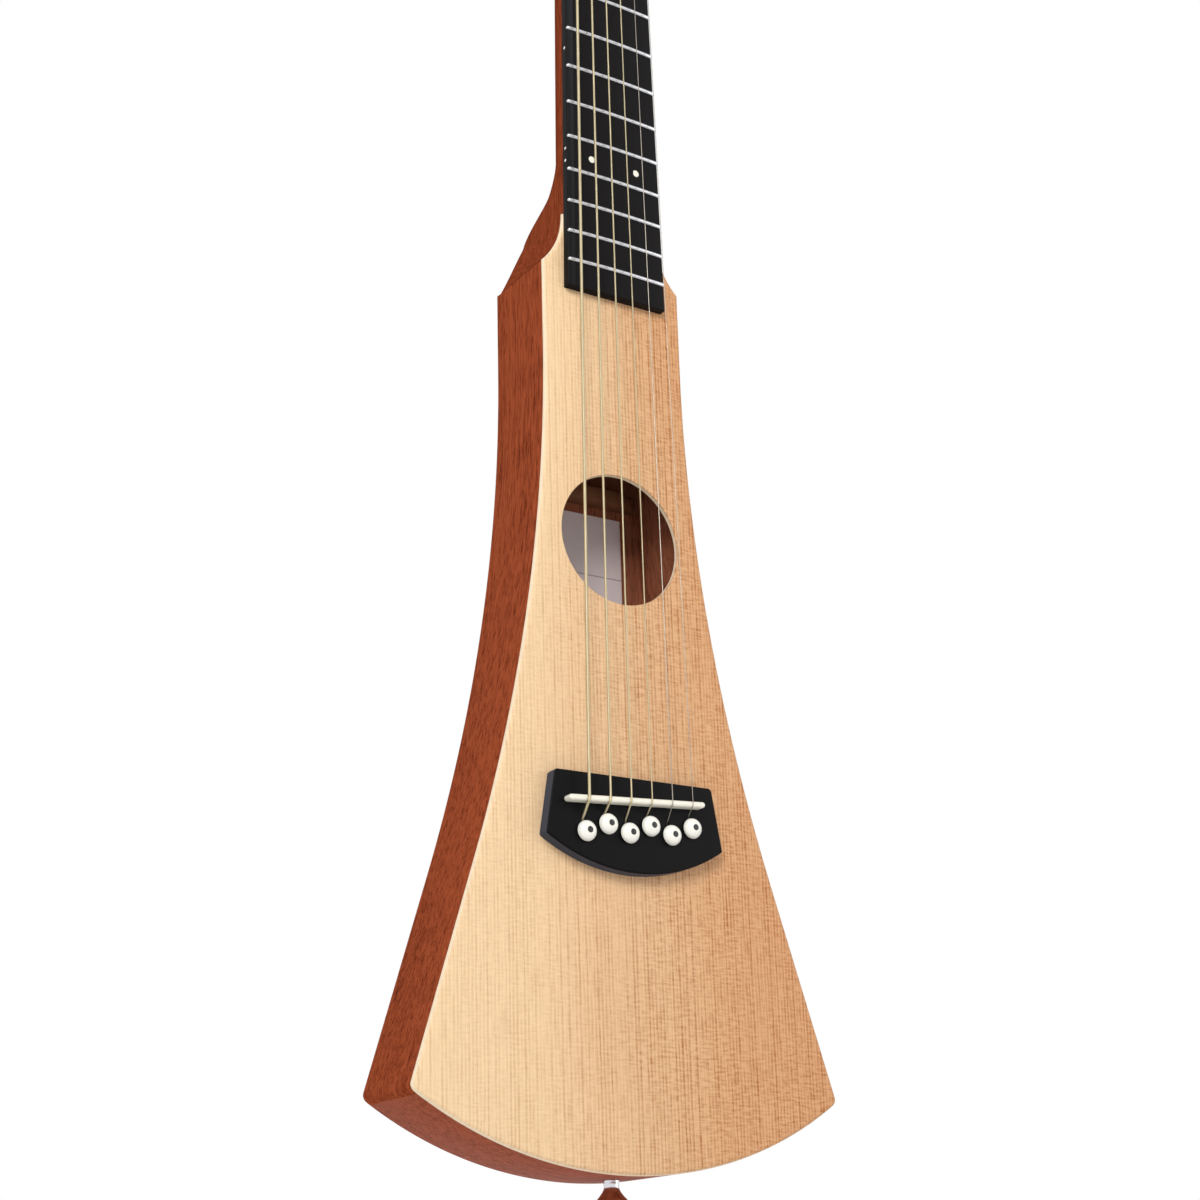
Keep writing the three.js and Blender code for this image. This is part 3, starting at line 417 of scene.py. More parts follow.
def rounded(corners, rounds, steps=6):
    """A closed outline whose corners are eased by a length along both sides."""
    line = []
    for i, corner in enumerate(corners):
        here = Vector(corner)
        before = Vector(corners[i - 1]) - here
        after = Vector(corners[(i + 1) % len(corners)]) - here
        reach = min(rounds[i], before.length * 0.49, after.length * 0.49)
        if reach <= 0:
            line.append(here)
            continue
        line += bow(here + before.normalized() * reach, here, here + after.normalized() * reach, steps)
    return line


def circle(x, place, radius, segments):
    around = angles(2 * math.pi, segments)[:-1]
    return [Vector((x + radius * math.cos(a), place + radius * math.sin(a))) for a in around]


def signed_area(outline):
    return sum(a.x * b.y - b.x * a.y for a, b in zip(outline, outline[1:] + outline[:1])) / 2


def inset_outline(outline, inset):
    """The outline moved to its left, which is inwards when it runs anticlockwise."""
    moved = []
    for i, here in enumerate(outline):
        before = (here - outline[i - 1]).normalized()
        after = (outline[(i + 1) % len(outline)] - here).normalized()
        normals = Vector((-before.y, before.x)), Vector((-after.y, after.x))
        middle = (normals[0] + normals[1]) / (1 + normals[0].dot(normals[1]))
        moved.append(here + middle * inset)
    return moved


def edge_rows(near, far, near_round, far_round, steps=5):
    """Insets and depths from the near face, round both edges, to the far face.

    A ring just inside a rounded edge keeps the shading of the flat face flat.
    """
    def quarter(depth, size, inward):
        if not size:
            return [(0, depth)]
        arc = [(size * (1 - math.sin(a)), depth + inward * size * (1 - math.cos(a)))
               for a in angles(math.pi / 2, steps)]
        return [(size + FACE_HOLD, depth)] + arc
    return quarter(near, near_round, 1) + quarter(far, far_round, -1)[::-1]


def add_rings(mesh, rings):
    """Walls between rings of as many points each, and the vertices that were made."""
    made = [[mesh.verts.new(point) for point in ring] for ring in rings]
    for first, second in zip(made, made[1:]):
        count = len(first)
        for j in range(count):
            k = (j + 1) % count
            mesh.faces.new((first[j], first[k], second[k], second[j]))
    return made


def ring_edges(mesh, ring):
    return [mesh.edges.get((a, b)) for a, b in zip(ring, ring[1:] + ring[:1])]


def add_loft(mesh, rings):
    made = add_rings(mesh, rings)
    mesh.faces.new(made[0])
    mesh.faces.new(made[-1])


def add_plate(mesh, outline, near, far, near_round=0.0, far_round=0.0, holes=(), space=at):
    """A plate with rounded edges, seen from its near face, and with holes right through."""
    loops = []
    for points, sign in [(outline, 1)] + [(hole, -1) for hole in holes]:
        points = [Vector(p) for p in points]
        if signed_area(points) < 0:
            points.reverse()
        share = 1 if sign > 0 else HOLE_EDGE_SHARE
        rows = edge_rows(near, far, near_round * share, far_round * share)
        loops.append(add_rings(mesh, [[space(p.x, depth, p.y) for p in inset_outline(points, inset * sign)]
                                      for inset, depth in rows]))
    for end in (0, -1):
        edges = [edge for made in loops for edge in ring_edges(mesh, made[end])]
        bmesh.ops.triangle_fill(mesh, edges=edges, use_beauty=True)


def add_turned(mesh, profile, segments, matrix=Matrix()):
    """A turned solid from radii and distances along +Z. A profile that leaves the axis closes on itself."""
    rings = []
    for radius, along in profile:
        around = angles(2 * math.pi, segments)[:-1] if radius else [0]
        rings.append([mesh.verts.new(matrix @ polar(radius, a, along)) for a in around])
    if len(rings[0]) > 1:
        rings.append(rings[0])
    for first, second in zip(rings, rings[1:]):
        for j in range(segments):
            k = (j + 1) % segments
            if len(first) == 1:
                mesh.faces.new((first[0], second[j], second[k]))
            elif len(second) == 1:
                mesh.faces.new((first[j], first[k], second[0]))
            else:
                mesh.faces.new((first[j], first[k], second[k], second[j]))


def add_rod(mesh, radius, start, end, segments, matrix=Matrix()):
    add_turned(mesh, [(0, start), (radius, start), (radius, end), (0, end)], segments, matrix)


def add_tube(mesh, points, radius, sides, matrix=Matrix()):
    """A round wire along points, whose section keeps its turn."""
    points = [matrix @ Vector(p) for p in points]
    side = None
    rings = []
    for i, point in enumerate(points):
        along = points[min(i + 1, len(points) - 1)] - points[max(i - 1, 0)]
        along.normalize()
        if side is None:
            side = along.orthogonal()
        side = (side - along * side.dot(along)).normalized()
        up = along.cross(side)
        rings.append([point + (side * math.cos(a) + up * math.sin(a)) * radius
                      for a in angles(2 * math.pi, sides)[:-1]])
    add_loft(mesh, rings)


def add_channel(mesh, points, radius, height, steps):
    """A round-bottomed slot along points, open towards the front."""
    rings = []
    for point in points:
        side, lift = Vector((radius, 0, 0)), Vector((0, -height, 0))
        arc = [point + polar(radius, a) for a in angles(math.pi, steps)]
        rings.append(arc + [point - side + lift, point + side + lift])
    add_loft(mesh, rings)


def add_box(mesh, corner, opposite):
    size = Vector(opposite) - Vector(corner)
    middle = (Vector(opposite) + Vector(corner)) / 2
    stretch = Matrix.Diagonal((*size, 1))
    bmesh.ops.create_cube(mesh, size=1, matrix=Matrix.Translation(middle) @ stretch)


def placed(name, data):
    """A new object in the scene."""
    made = bpy.data.objects.new(name, data)
    bpy.context.scene.collection.objects.link(made)
    return made


def piece_from(mesh, name, sharp=SMOOTH_DEGREES):
    """An object from a bmesh, its faces pointing out and smooth up to an angle."""
    bmesh.ops.remove_doubles(mesh, verts=mesh.verts, dist=WELD)
    bmesh.ops.recalc_face_normals(mesh, faces=mesh.faces)
    data = bpy.data.meshes.new(name)
    mesh.to_mesh(data)
    mesh.free()
    piece = placed(name, data)
    soften(piece, sharp)
    return piece


def solid(name, add, *values, sharp=SMOOTH_DEGREES, **options):
    """A piece of one shape, which one of the add functions makes."""
    mesh = bmesh.new()
    add(mesh, *values, **options)
    return piece_from(mesh, name, sharp)


def soften(piece, sharp=SMOOTH_DEGREES):
    piece.data.shade_smooth()
    piece.data.set_sharp_from_angle(angle=math.radians(sharp))


def settle(piece):
    """Turns the result of the modifiers into the plain mesh."""
    depsgraph = bpy.context.evaluated_depsgraph_get()
    data = bpy.data.meshes.new_from_object(piece.evaluated_get(depsgraph))
    piece.modifiers.clear()
    piece.data = data
    return piece


def carve(piece, tool, operation="DIFFERENCE"):
    """Cuts a tool out of a piece, or joins it to it, and takes the tool away."""
    modifier = piece.modifiers.new(operation, "BOOLEAN")
    modifier.operation = operation
    modifier.solver = "MANIFOLD"
    modifier.object = tool
    settle(piece)
    bpy.data.objects.remove(tool)
    return piece


def dress(piece, material, slot, body="root", replaces=()):
    """Gives a piece its material and its body, and hides the CAD nodes that it stands for."""
    if material:
        piece.data.materials.clear()
        piece.data.materials.append(material)
    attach(piece, body)
    if replaces:
        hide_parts(*replaces)
    return piece


def tint(red, green, blue):
    """A colour as it looks on a screen, from 0 to 255, in the values that a shader takes."""
    def linear(value):
        value /= 255
        return value / 12.92 if value <= 0.04045 else ((value + 0.055) / 1.055) ** 2.4
    return tuple(linear(value) for value in (red, green, blue))


def length_prop(name, description, default):
    return FloatProperty(name=name, description=description, default=default, min=0, unit="LENGTH",
                         precision=5)


def colour_prop(name, description, default):
    return FloatVectorProperty(name=name, description=description, default=default, min=0, max=1, size=3,
                               subtype="COLOR")


class GuitarSizes(bpy.types.PropertyGroup):
    """Sizes of the finish that a maker would change."""
    top_edge_round: length_prop("Top edge", "Rounding along the soundboard's rim", mm(1.7))
    back_edge_round: length_prop("Back edge", "Rounding along the back's rim", mm(2.3))
    seam_round: length_prop("Seam", "Break of the edges where two boards meet", mm(0.22))
    shoulder_groove: length_prop("Shoulder groove", "Broken edges where the heel meets the sides", mm(0.35))
    head_edge_round: length_prop("Head edge", "Rounding along the head's edges", mm(1.6))
    board_camber: length_prop("Camber", "Radius of the fingerboard's arched face", mm(406))
    board_edge_roll: length_prop("Rolled edge", "Rounding along the fingerboard's edges", mm(0.9))
    fret_width: length_prop("Fret width", "Width of a fret's crown", mm(2))
    fret_height: length_prop("Fret height", "Height of a fret's crown", mm(1))
    face_dot: length_prop("Face dot", "Radius of the position dots on the face", mm(1.75))
    side_dot: length_prop("Side dot", "Radius of the position dots on the board's edge", mm(0.75))
    bridge_edge: length_prop("Bridge edge", "Break along the bridge's upper edges", mm(0.7))
    pin_dot: length_prop("Pin dot", "Radius of the black dot on a bridge pin", mm(1.5))
    winding_pitch: length_prop("Winding pitch", "Distance between turns of a string's wrap", mm(0.36))
    grain_spacing: length_prop("Grain spacing", "Mean width of a growth ring in the soundboard", mm(1.75))
    screw_radius: length_prop("Screw", "Radius of a tuner screw's head", mm(2.2))
    round_segments: IntProperty(name="Segments", description="Sides of a turned piece", default=48, min=12,
                                max=96)


class GuitarFinishes(bpy.types.PropertyGroup):
    """Colours of the woods, metals and plastics."""
    spruce: colour_prop("Spruce", "Soundboard's bass side between the lines", tint(243, 213, 170))
    # Treble side: partly a warmer wood tone and partly painted shade, darker away from the light at the bass
    # side.
    spruce_treble_tone_and_shade: colour_prop("Warm spruce", "Soundboard's treble side between the lines", tint(215, 163, 117))
    spruce_line: colour_prop("Spruce line", "Late wood in the soundboard's rings", tint(166, 98, 48))
    # Rounded rim: partly paler fresh wood and partly a painted highlight where the rounding catches the
    # light.
    spruce_rim_and_highlight: colour_prop("Spruce edge", "Fresh wood on the soundboard's rounded rim", tint(255, 240, 212))
    mahogany: colour_prop("Mahogany", "Sides, rim and back", tint(168, 82, 50))
    # Painted shade: the sides' mahogany made darker for the neck and head, so the heel and the neck's side
    # look shaded.
    neck_mahogany: colour_prop("Neck mahogany", "Darker mahogany of the neck and head", tint(150, 72, 43))
    mahogany_dark: colour_prop("Dark mahogany", "Streaks in the mahogany", tint(88, 32, 17))
    raw_mahogany: colour_prop("Raw mahogany", "Unfinished mahogany inside the body", tint(160, 98, 72))
    inner_wood: colour_prop("Inner wood", "Blocks and braces", tint(138, 88, 54))
    board: colour_prop("Board black", "Fingerboard", tint(25, 23, 24))
    # Painted reflection: the greyer strip on the board's face beside the lowest string.
    board_edge_reflection: colour_prop("Board edge", "Dull strip beside the lowest string", tint(60, 62, 66))
    bridge: colour_prop("Bridge black", "Face of the bridge", tint(11, 10, 11))
    # Painted reflection: a cool bluish grey on the bridge's sides.
    bridge_side_reflection: colour_prop("Bridge side", "Sawn sides of the bridge", tint(60, 66, 79))
    bone: colour_prop("Bone", "Nut and saddle", tint(244, 240, 224))
    pin: colour_prop("Pin white", "Bridge pins", tint(247, 245, 236))
    pin_dot: colour_prop("Dot black", "Dots of the bridge pins", tint(14, 13, 14))
    paper: colour_prop("Paper", "Label", tint(250, 238, 238))
    fret: colour_prop("Fret metal", "Frets", tint(214, 214, 218))
    bronze: colour_prop("Bronze wrap", "Wound strings", tint(213, 199, 162))
    steel: colour_prop("Steel", "Plain strings", tint(168, 160, 148))
    chrome: colour_prop("Chrome", "Tuners and strap pins", tint(222, 222, 226))
    nickel: colour_prop("Nickel", "Tuner plates and screws", tint(186, 186, 190))
    floor: colour_prop("Floor", "Studio floor", tint(250, 250, 250))


def sizes():
    return bpy.context.scene.guitar_sizes


def colours():
    return bpy.context.scene.guitar_finishes


class Term:
    """A node socket that takes part in sums, and adds the nodes that work them out."""

    def __init__(self, tree, socket=None):
        self.tree = tree
        self.socket = socket

    def node(self, kind, settings=None, inputs=None, output=0):
        """The output of a new node, whose settings are made first and whose sockets come after."""
        made = self.tree.nodes.new(kind)
        for name, value in (settings or {}).items():
            setattr(made, name, value)
        for key, value in (inputs or {}).items():
            if isinstance(value, Term):
                self.tree.links.new(value.socket, made.inputs[key])
            else:
                made.inputs[key].default_value = value
        return Term(self.tree, made.outputs[output]) if made.outputs else None

    def math(self, operation, *others):
        return self.node("ShaderNodeMath", {"operation": operation}, dict(enumerate((self, *others))))

    def __add__(self, other):
        return self.math("ADD", other)

    def __sub__(self, other):
        return self.math("SUBTRACT", other)

    def __rsub__(self, other):
        return self.node("ShaderNodeMath", {"operation": "SUBTRACT"}, {0: other, 1: self})

    def __mul__(self, other):
        return self.math("MULTIPLY", other)

    def __truediv__(self, other):
        return self.math("DIVIDE", other)

    __radd__ = __add__
    __rmul__ = __mul__

    def parts(self):
        """The X, Y and Z of a vector."""
        split = self.node("ShaderNodeSeparateXYZ", inputs={0: self})
        return [Term(self.tree, socket) for socket in split.socket.node.outputs]

    def stretched(self, x, y, z):
        return self.node("ShaderNodeVectorMath", {"operation": "MULTIPLY"}, {0: self, 1: (x, y, z)})

    def noise(self, detail=2.0, roughness=0.5):
        settings = {"Scale": 1.0, "Detail": detail, "Roughness": roughness}
        return self.node("ShaderNodeTexNoise", inputs={"Vector": self, **settings}, output="Fac")

    def ramp(self, low, high):
        """0 below the low value, 1 above the high one, and an eased rise between."""
        values = {"Value": self, "From Min": low, "From Max": high}
        return self.node("ShaderNodeMapRange", {"interpolation_type": "SMOOTHSTEP"}, values, "Result")

    def mixed(self, first, second):
        """Two colours mixed by this value."""
        return self.node("ShaderNodeMix", {"data_type": "RGBA"}, {0: self, 6: first, 7: second}, 2)

    def bump(self, distance, strength=1.0):
        values = {"Height": self, "Distance": distance, "Strength": strength}
        return self.node("ShaderNodeBump", inputs=values, output="Normal")


def opaque(colour, brightness=1.0):
    return (*(min(value * brightness, 1) for value in colour), 1)


def empty_tree(holder):
    """The start of a material's or a world's own tree of nodes."""
    holder.use_nodes = True
    holder.node_tree.nodes.clear()
    return Term(holder.node_tree)


def ray_kind(start, *kinds):
    """1 where a ray is one of some kinds."""
    outputs = start.node("ShaderNodeLightPath").socket.node.outputs
    terms = [Term(start.tree, outputs[f"Is {kind} Ray"]) for kind in kinds]
    seen = terms[0]
    for term in terms[1:]:
        seen = seen.math("MAXIMUM", term)
    return seen


def material(name, paint, **constants):
    """A material. What varies over its surface comes from paint, and the rest are constants."""
    start = empty_tree(bpy.data.materials.new(f"{name}_finish"))
    point = start.node("ShaderNodeTexCoord", output="Object")
    inputs = {key.replace("_", " "): value for key, value in constants.items()}
    surface = start.node("ShaderNodeBsdfPrincipled", inputs={**inputs, **paint(point)}, output="BSDF")
    start.node("ShaderNodeOutputMaterial", inputs={"Surface": surface})


def paint_spruce(point):
    """Quarter-sawn rings with soft late wood and silk across them, warmer and darker towards the treble side,
    partly wood tone and partly painted shade, and paler on the rounded rim, partly fresh wood and partly a
    painted highlight.
    """
    x, depth, z = point.parts()
    wander = point.stretched(7, 7, 1.2).noise(1)
    ring = x / sizes().grain_spacing + wander * 5
    number = ring.math("FLOOR")
    share = ring - number
    weight = number.node("ShaderNodeTexWhiteNoise", {"noise_dimensions": "1D"}, {"W": number}, "Value")
    late = share.ramp(0.05, 0.66) * (1 - share.ramp(0.7, 1.0))
    line = late * (weight * 0.7 + 0.3)
    fibre = point.stretched(1300, 700, 60).noise(3, 0.7)
    silk = point.stretched(190, 190, 950).noise(3, 0.65)
    patch = point.stretched(22, 22, 10).noise(2).ramp(0.3, 0.62)
    cloud = point.stretched(15, 15, 6).noise(1)
    widening = (-1 * z - FLARE_PLACE).math("MAXIMUM", 0.0) * 0.17
    # Towards the treble side the colour grows warmer and darker and the lines stronger: partly wood tone,
    # partly painted shade.
    treble_tone_and_shade = (x / (widening + WAIST_HALF_WIDTH) * 0.5 + 0.35 + cloud * 0.3).ramp(-0.1, 1.05)
    base = treble_tone_and_shade.mixed(opaque(colours().spruce), opaque(colours().spruce_treble_tone_and_shade))
    figure = (fibre - 0.5) * (treble_tone_and_shade * 0.9 + 0.65) + (silk - 0.46) * (treble_tone_and_shade * 1.4 + 0.4) * (patch * 0.4 + 0.6)
    shade = line * (treble_tone_and_shade * 0.32 + 0.2) + figure + 0.12
    face = shade.ramp(0, 1).mixed(base, opaque(colours().spruce_line))
    # Paler rounded rim: partly fresh wood and partly a painted highlight where the rounding catches the
    # light.
    edge = depth.ramp(*RIM_AND_HIGHLIGHT_FADE) * 0.7
    return {
        "Base Color": edge.mixed(face, opaque(colours().spruce_rim_and_highlight)),
        "Roughness": 0.42 + fibre * 0.16,
        "Normal": (line * 0.5 + fibre * 0.5).bump(SPRUCE_RELIEF, 0.5),
    }


def within_body(x, depth, z):
    """1 on what faces the air inside the body, and 0 on what is outside it."""
    below = (-1 * z - FLARE_PLACE).math("MAXIMUM", 0.0)
    bent = below.math("MINIMUM", FLARE_RADIUS * math.sin(FLARE_ANGLE))
    arc = FLARE_RADIUS - (FLARE_RADIUS**2 - bent * bent).math("SQRT")
    half = arc + (below - bent) * math.tan(FLARE_ANGLE) + (WAIST_HALF_WIDTH - SIDE_THICKNESS / 2)
    in_width = half.math("GREATER_THAN", x.math("ABSOLUTE"))
    in_depth = depth.math("LESS_THAN", (BACK_DEPTH + BODY_DEPTH) / 2)
    past_centre = (-1 * z - TAIL_CENTRE_PLACE).math("MAXIMUM", 0.0)
    rim_middle = TAIL_ARC_RADIUS - RIM_THICKNESS / 2
    in_length = (x * x + past_centre * past_centre).math("LESS_THAN", rim_middle**2)
    return in_width * in_depth * in_length * z.math("LESS_THAN", -SHOULDER_PLACE - INSIDE_MARGIN)


def paint_mahogany(wood, turned=False):
    """Long streaks along the grain, with fine dark pores. Turned grain runs across, not up."""
    def paint(point):
        x, depth, z = point.parts()
        inside = within_body(x, depth, z)
        if turned:
            point = point.node("ShaderNodeCombineXYZ", inputs={0: z, 1: depth, 2: x})
        ribbon = point.stretched(26, 26, 1.5).noise(2)
        streak = point.stretched(300, 300, 5).noise(4, 0.65)
        pore = point.stretched(2600, 2600, 170).noise(1).ramp(0.55, 0.7)
        fibre = point.stretched(900, 900, 70).noise(2, 0.6)
        shade = (ribbon * 0.4 + streak * 0.7 + fibre * 1.7 - 1.15 + pore * 0.35).ramp(0, 1)
        pale = inside.mixed(opaque(wood), opaque(colours().raw_mahogany))
        dark = inside.mixed(opaque(colours().mahogany_dark), opaque(colours().raw_mahogany, 0.25))
        return {
            "Base Color": shade.mixed(pale, dark),
            "Roughness": 0.4 + pore * 0.2 + fibre * 0.08,
            "Normal": (fibre * 0.4 - pore).bump(PORE_RELIEF, 0.4),
        }
    return paint


def paint_plain(colour, dark_share, rough, spread, scale, relief=0.0, along=1.0):
    """A colour with a faint mottle, a roughness that varies and a fine relief."""
    def paint(point):
        mottle = point.stretched(scale, scale, scale * along).noise(3, 0.6)
        fine = point.stretched(scale * 5, scale * 5, scale * 5 * along).noise(2)
        inputs = {
            "Base Color": mottle.mixed(opaque(colour), opaque(colour, 1 - dark_share)),
            "Roughness": rough + (mottle - 0.5) * spread,
        }
        if relief:
            inputs["Normal"] = fine.bump(relief, 0.5)
        return inputs
    return paint


def paint_board(point):
    """Black wood with open grain, and a painted reflection: a greyer strip on the face beside the lowest
    string, where the rolled edge would catch the light.
    """
    inputs = paint_plain(colours().board, 0.35, 0.46, 0.12, 500, relief=BLACK_WOOD_RELIEF, along=0.05)(point)
    x, depth, z = point.parts()
    half = NUT_WIDTH / 2 - z * ((BOARD_END_WIDTH - NUT_WIDTH) / 2 / BOARD_LENGTH)
    face = 1 - (depth + BOARD_THICKNESS).ramp(*BOARD_SIDE_FADE)
    # Painted reflection: a greyer strip on the face beside the lowest string, kept off the board's side.
    edge = (REFLECTION_STRIP_WIDTH - x - half).ramp(-REFLECTION_STRIP_FADE, REFLECTION_STRIP_FADE) * face * 0.8
    return {**inputs, "Base Color": edge.mixed(inputs["Base Color"], opaque(colours().board_edge_reflection))}


def paint_bridge(point):
    """Black and polished on its face, with a painted reflection that turns its sides bluish grey."""
    inputs = paint_plain(colours().bridge, 0.3, 0.42, 0.1, 300, relief=BLACK_WOOD_RELIEF)(point)
    _, depth, _ = point.parts()
    # Painted reflection: below its face the bridge turns bluish grey.
    side = (depth + BRIDGE_THICKNESS).ramp(*BRIDGE_REFLECTION_FADE)
    return {**inputs, "Base Color": side.mixed(inputs["Base Color"], opaque(colours().bridge_side_reflection))}


def paint_wrap(point):
    """The fine wire that is wrapped round a core, as ridges along the string, with painted shade in the
    grooves between its turns.
    """
    _, _, z = point.parts()
    wave = (z * (2 * math.pi / sizes().winding_pitch)).math("SINE")
    # Painted shade: the grooves between the turns are darker.
    groove = (wave * 0.5 + 0.5).ramp(0.0, 0.6)
    worn = point.stretched(90, 90, 40).noise(2)
    bronze = opaque(colours().bronze)
    return {
        "Base Color": groove.mixed(opaque(colours().bronze, 0.62), bronze),
        "Roughness": 0.26 + worn * 0.2,
        "Normal": wave.bump(WRAP_RELIEF, 0.7),
    }


def paint_label(point):
    """Bare paper with a thin ruled line."""
    _, _, z = point.parts()
    fibre = point.stretched(900, 900, 900).noise(3, 0.7)
    from_rule = (z + (HOLE_PLACE + LABEL_RULE_BELOW_HOLE)).math("ABSOLUTE")
    rule = 1 - from_rule.ramp(LABEL_RULE_WIDTH / 4, LABEL_RULE_WIDTH / 2)
    paper = fibre.mixed(opaque(colours().paper, 0.94), opaque(colours().paper))
    return {
        "Base Color": (rule * 0.55).mixed(paper, opaque(colours().pin_dot)),
        "Roughness": 0.75 + fibre * 0.2,
    }


def make_materials():
    """Every finish of the guitar, under its short name."""
    c = colours()
    material("spruce", paint_spruce, Specular_IOR_Level=0.2)
    material("mahogany", paint_mahogany(c.mahogany), Specular_IOR_Level=0.0)
    material("rim_mahogany", paint_mahogany(c.mahogany, turned=True), Specular_IOR_Level=0.04)
    # A shaded copy of the mahogany: painted shade on the neck, its heel and its head.
    material("neck_mahogany", paint_mahogany(c.neck_mahogany), Specular_IOR_Level=0.0)
    inner_wood = paint_plain(c.inner_wood, 0.3, 0.7, 0.2, 160, relief=INNER_WOOD_RELIEF, along=0.2)
    material("inner_wood", inner_wood)
    material("black_board", paint_board, Specular_IOR_Level=0.06)
    material("black_bridge", paint_bridge, Specular_IOR_Level=0.08)
    material("bone", paint_plain(c.bone, 0.06, 0.3, 0.1, 200, relief=BONE_RELIEF))
    material("pin_plastic", paint_plain(c.pin, 0.04, 0.25, 0.08, 250))
    material("pin_dot", paint_plain(c.pin_dot, 0.2, 0.3, 0.1, 600))
    material("paper", paint_label, Specular_IOR_Level=0.2)
    metals = {
        "fret_metal": paint_plain(c.fret, 0.1, 0.24, 0.12, 700),
        "wound_string": paint_wrap,
        "plain_string": paint_plain(c.steel, 0.3, 0.3, 0.1, 300),
        "chrome": paint_plain(c.chrome, 0.08, 0.1, 0.08, 120),
        "machine_steel": paint_plain(c.nickel, 0.15, 0.28, 0.14, 260, relief=PLATE_RELIEF),
    }
    for name, paint in metals.items():
        material(name, paint, Metallic=1.0)


def fret_place(number):
    return SCALE_LENGTH * (1 - 2 ** (-number / SEMITONES))


def board_half_width(place):
    return between(NUT_WIDTH, BOARD_END_WIDTH, place / BOARD_LENGTH) / 2


def flare_end(inset):
    return FLARE_PLACE + (FLARE_RADIUS + inset) * math.sin(FLARE_ANGLE)


def body_half_width(place, inset=0.0):
    """The straight waist, the flare's arc and the straight line after it, moved in by a wall."""
    if place <= FLARE_PLACE:
        return WAIST_HALF_WIDTH - inset
    end = min(place, flare_end(inset))
    reach = math.sqrt((FLARE_RADIUS + inset) ** 2 - (end - FLARE_PLACE) ** 2)
    return WAIST_HALF_WIDTH + FLARE_RADIUS - reach + (place - end) * math.tan(FLARE_ANGLE)


def tail_place_at(x, radius):
    return TAIL_CENTRE_PLACE + math.sqrt(radius**2 - x**2)


def corner_place(inset, radius):
    """Where the moved flare line meets a tail arc."""
    slope = math.tan(FLARE_ANGLE)
    end = flare_end(inset)
    start = body_half_width(end, inset) + (TAIL_CENTRE_PLACE - end) * slope
    a, b, c = 1 + slope**2, 2 * start * slope, start**2 - radius**2
    return TAIL_CENTRE_PLACE + (-b + math.sqrt(b**2 - 4 * a * c)) / (2 * a)


def side_line(inset, top, bottom, steps=44):
    """Points down one side, denser along the flare."""
    places = [top] + [FLARE_PLACE + (FLARE_RADIUS + inset) * math.sin(FLARE_ANGLE * s) for s in shares(steps)]
    places += [between(places[-1], bottom, s) for s in shares(6)[1:]]
    return [Vector((body_half_width(place, inset), place)) for place in places]


def tail_line(start, end, radius, steps):
    xs = [between(start, end, s) for s in shares(steps)]
    return [Vector((x, tail_place_at(x, radius))) for x in xs]


def tail_corner(steps=8):
    """The rounded corner between the side and the tail."""
    corner = corner_place(0, TAIL_ARC_RADIUS)
    top = Vector((body_half_width(corner - CORNER_BREAK), corner - CORNER_BREAK))
    apex = Vector((body_half_width(corner), corner))
    low_x = apex.x - CORNER_BREAK
    low = Vector((low_x, tail_place_at(low_x, TAIL_ARC_RADIUS)))
    return bow(top, apex, low, steps)


def scoop_half_width(place):
    if place <= SCOOP_PLACE:
        return board_half_width(place)
    grown = SCOOP_RADIUS - math.sqrt(SCOOP_RADIUS**2 - (place - SCOOP_PLACE) ** 2)
    full = SCOOP_RADIUS - math.sqrt(SCOOP_RADIUS**2 - SCOOP_LENGTH**2)
    return between(board_half_width(SCOOP_PLACE), WAIST_HALF_WIDTH, grown / full)


def mirrored(line):
    return [Vector((-p[0], p[1])) for p in reversed(line)]


def body_outline(with_scoop):
    scoop = []
    if with_scoop:
        places = [between(SCOOP_PLACE, SHOULDER_PLACE, s) for s in shares(14)[:-1]]
        scoop = [Vector((scoop_half_width(place), place)) for place in places]
    corner = tail_corner()
    right = scoop + side_line(0, SHOULDER_PLACE, corner[0].y)[:-1] + corner
    tail = tail_line(corner[-1].x, -corner[-1].x, TAIL_ARC_RADIUS, 96)[1:-1]
    return right + tail + mirrored(right)


def saddle_place(x):
    return SADDLE_CENTRE_PLACE - SADDLE_SLANT * x


def across(i):
    return i / (STRING_COUNT - 1) - 0.5


def pin_x(i):
    return PIN_SHIFT + across(i) * PIN_SPREAD


def pin_place(i):
    stagger = PIN_STAGGER if i % 2 == 0 else -PIN_STAGGER
    return saddle_place(pin_x(i)) + PIN_ROW_FROM_SADDLE + stagger


def make_soundboard(finish):
    sound_hole = circle(0, HOLE_PLACE, HOLE_RADIUS, 160)
    pin_holes = [circle(pin_x(i), pin_place(i), PIN_HOLE_RADIUS, 24) for i in STRINGS]
    edge = sizes().top_edge_round
    board = solid("soundboard_spruce", add_plate, body_outline(True), 0, SOUNDBOARD_DEPTH, edge, 0,
                  [sound_hole] + pin_holes)
    dress(board, finish["spruce"], "spruce", replaces=["soundboard"])


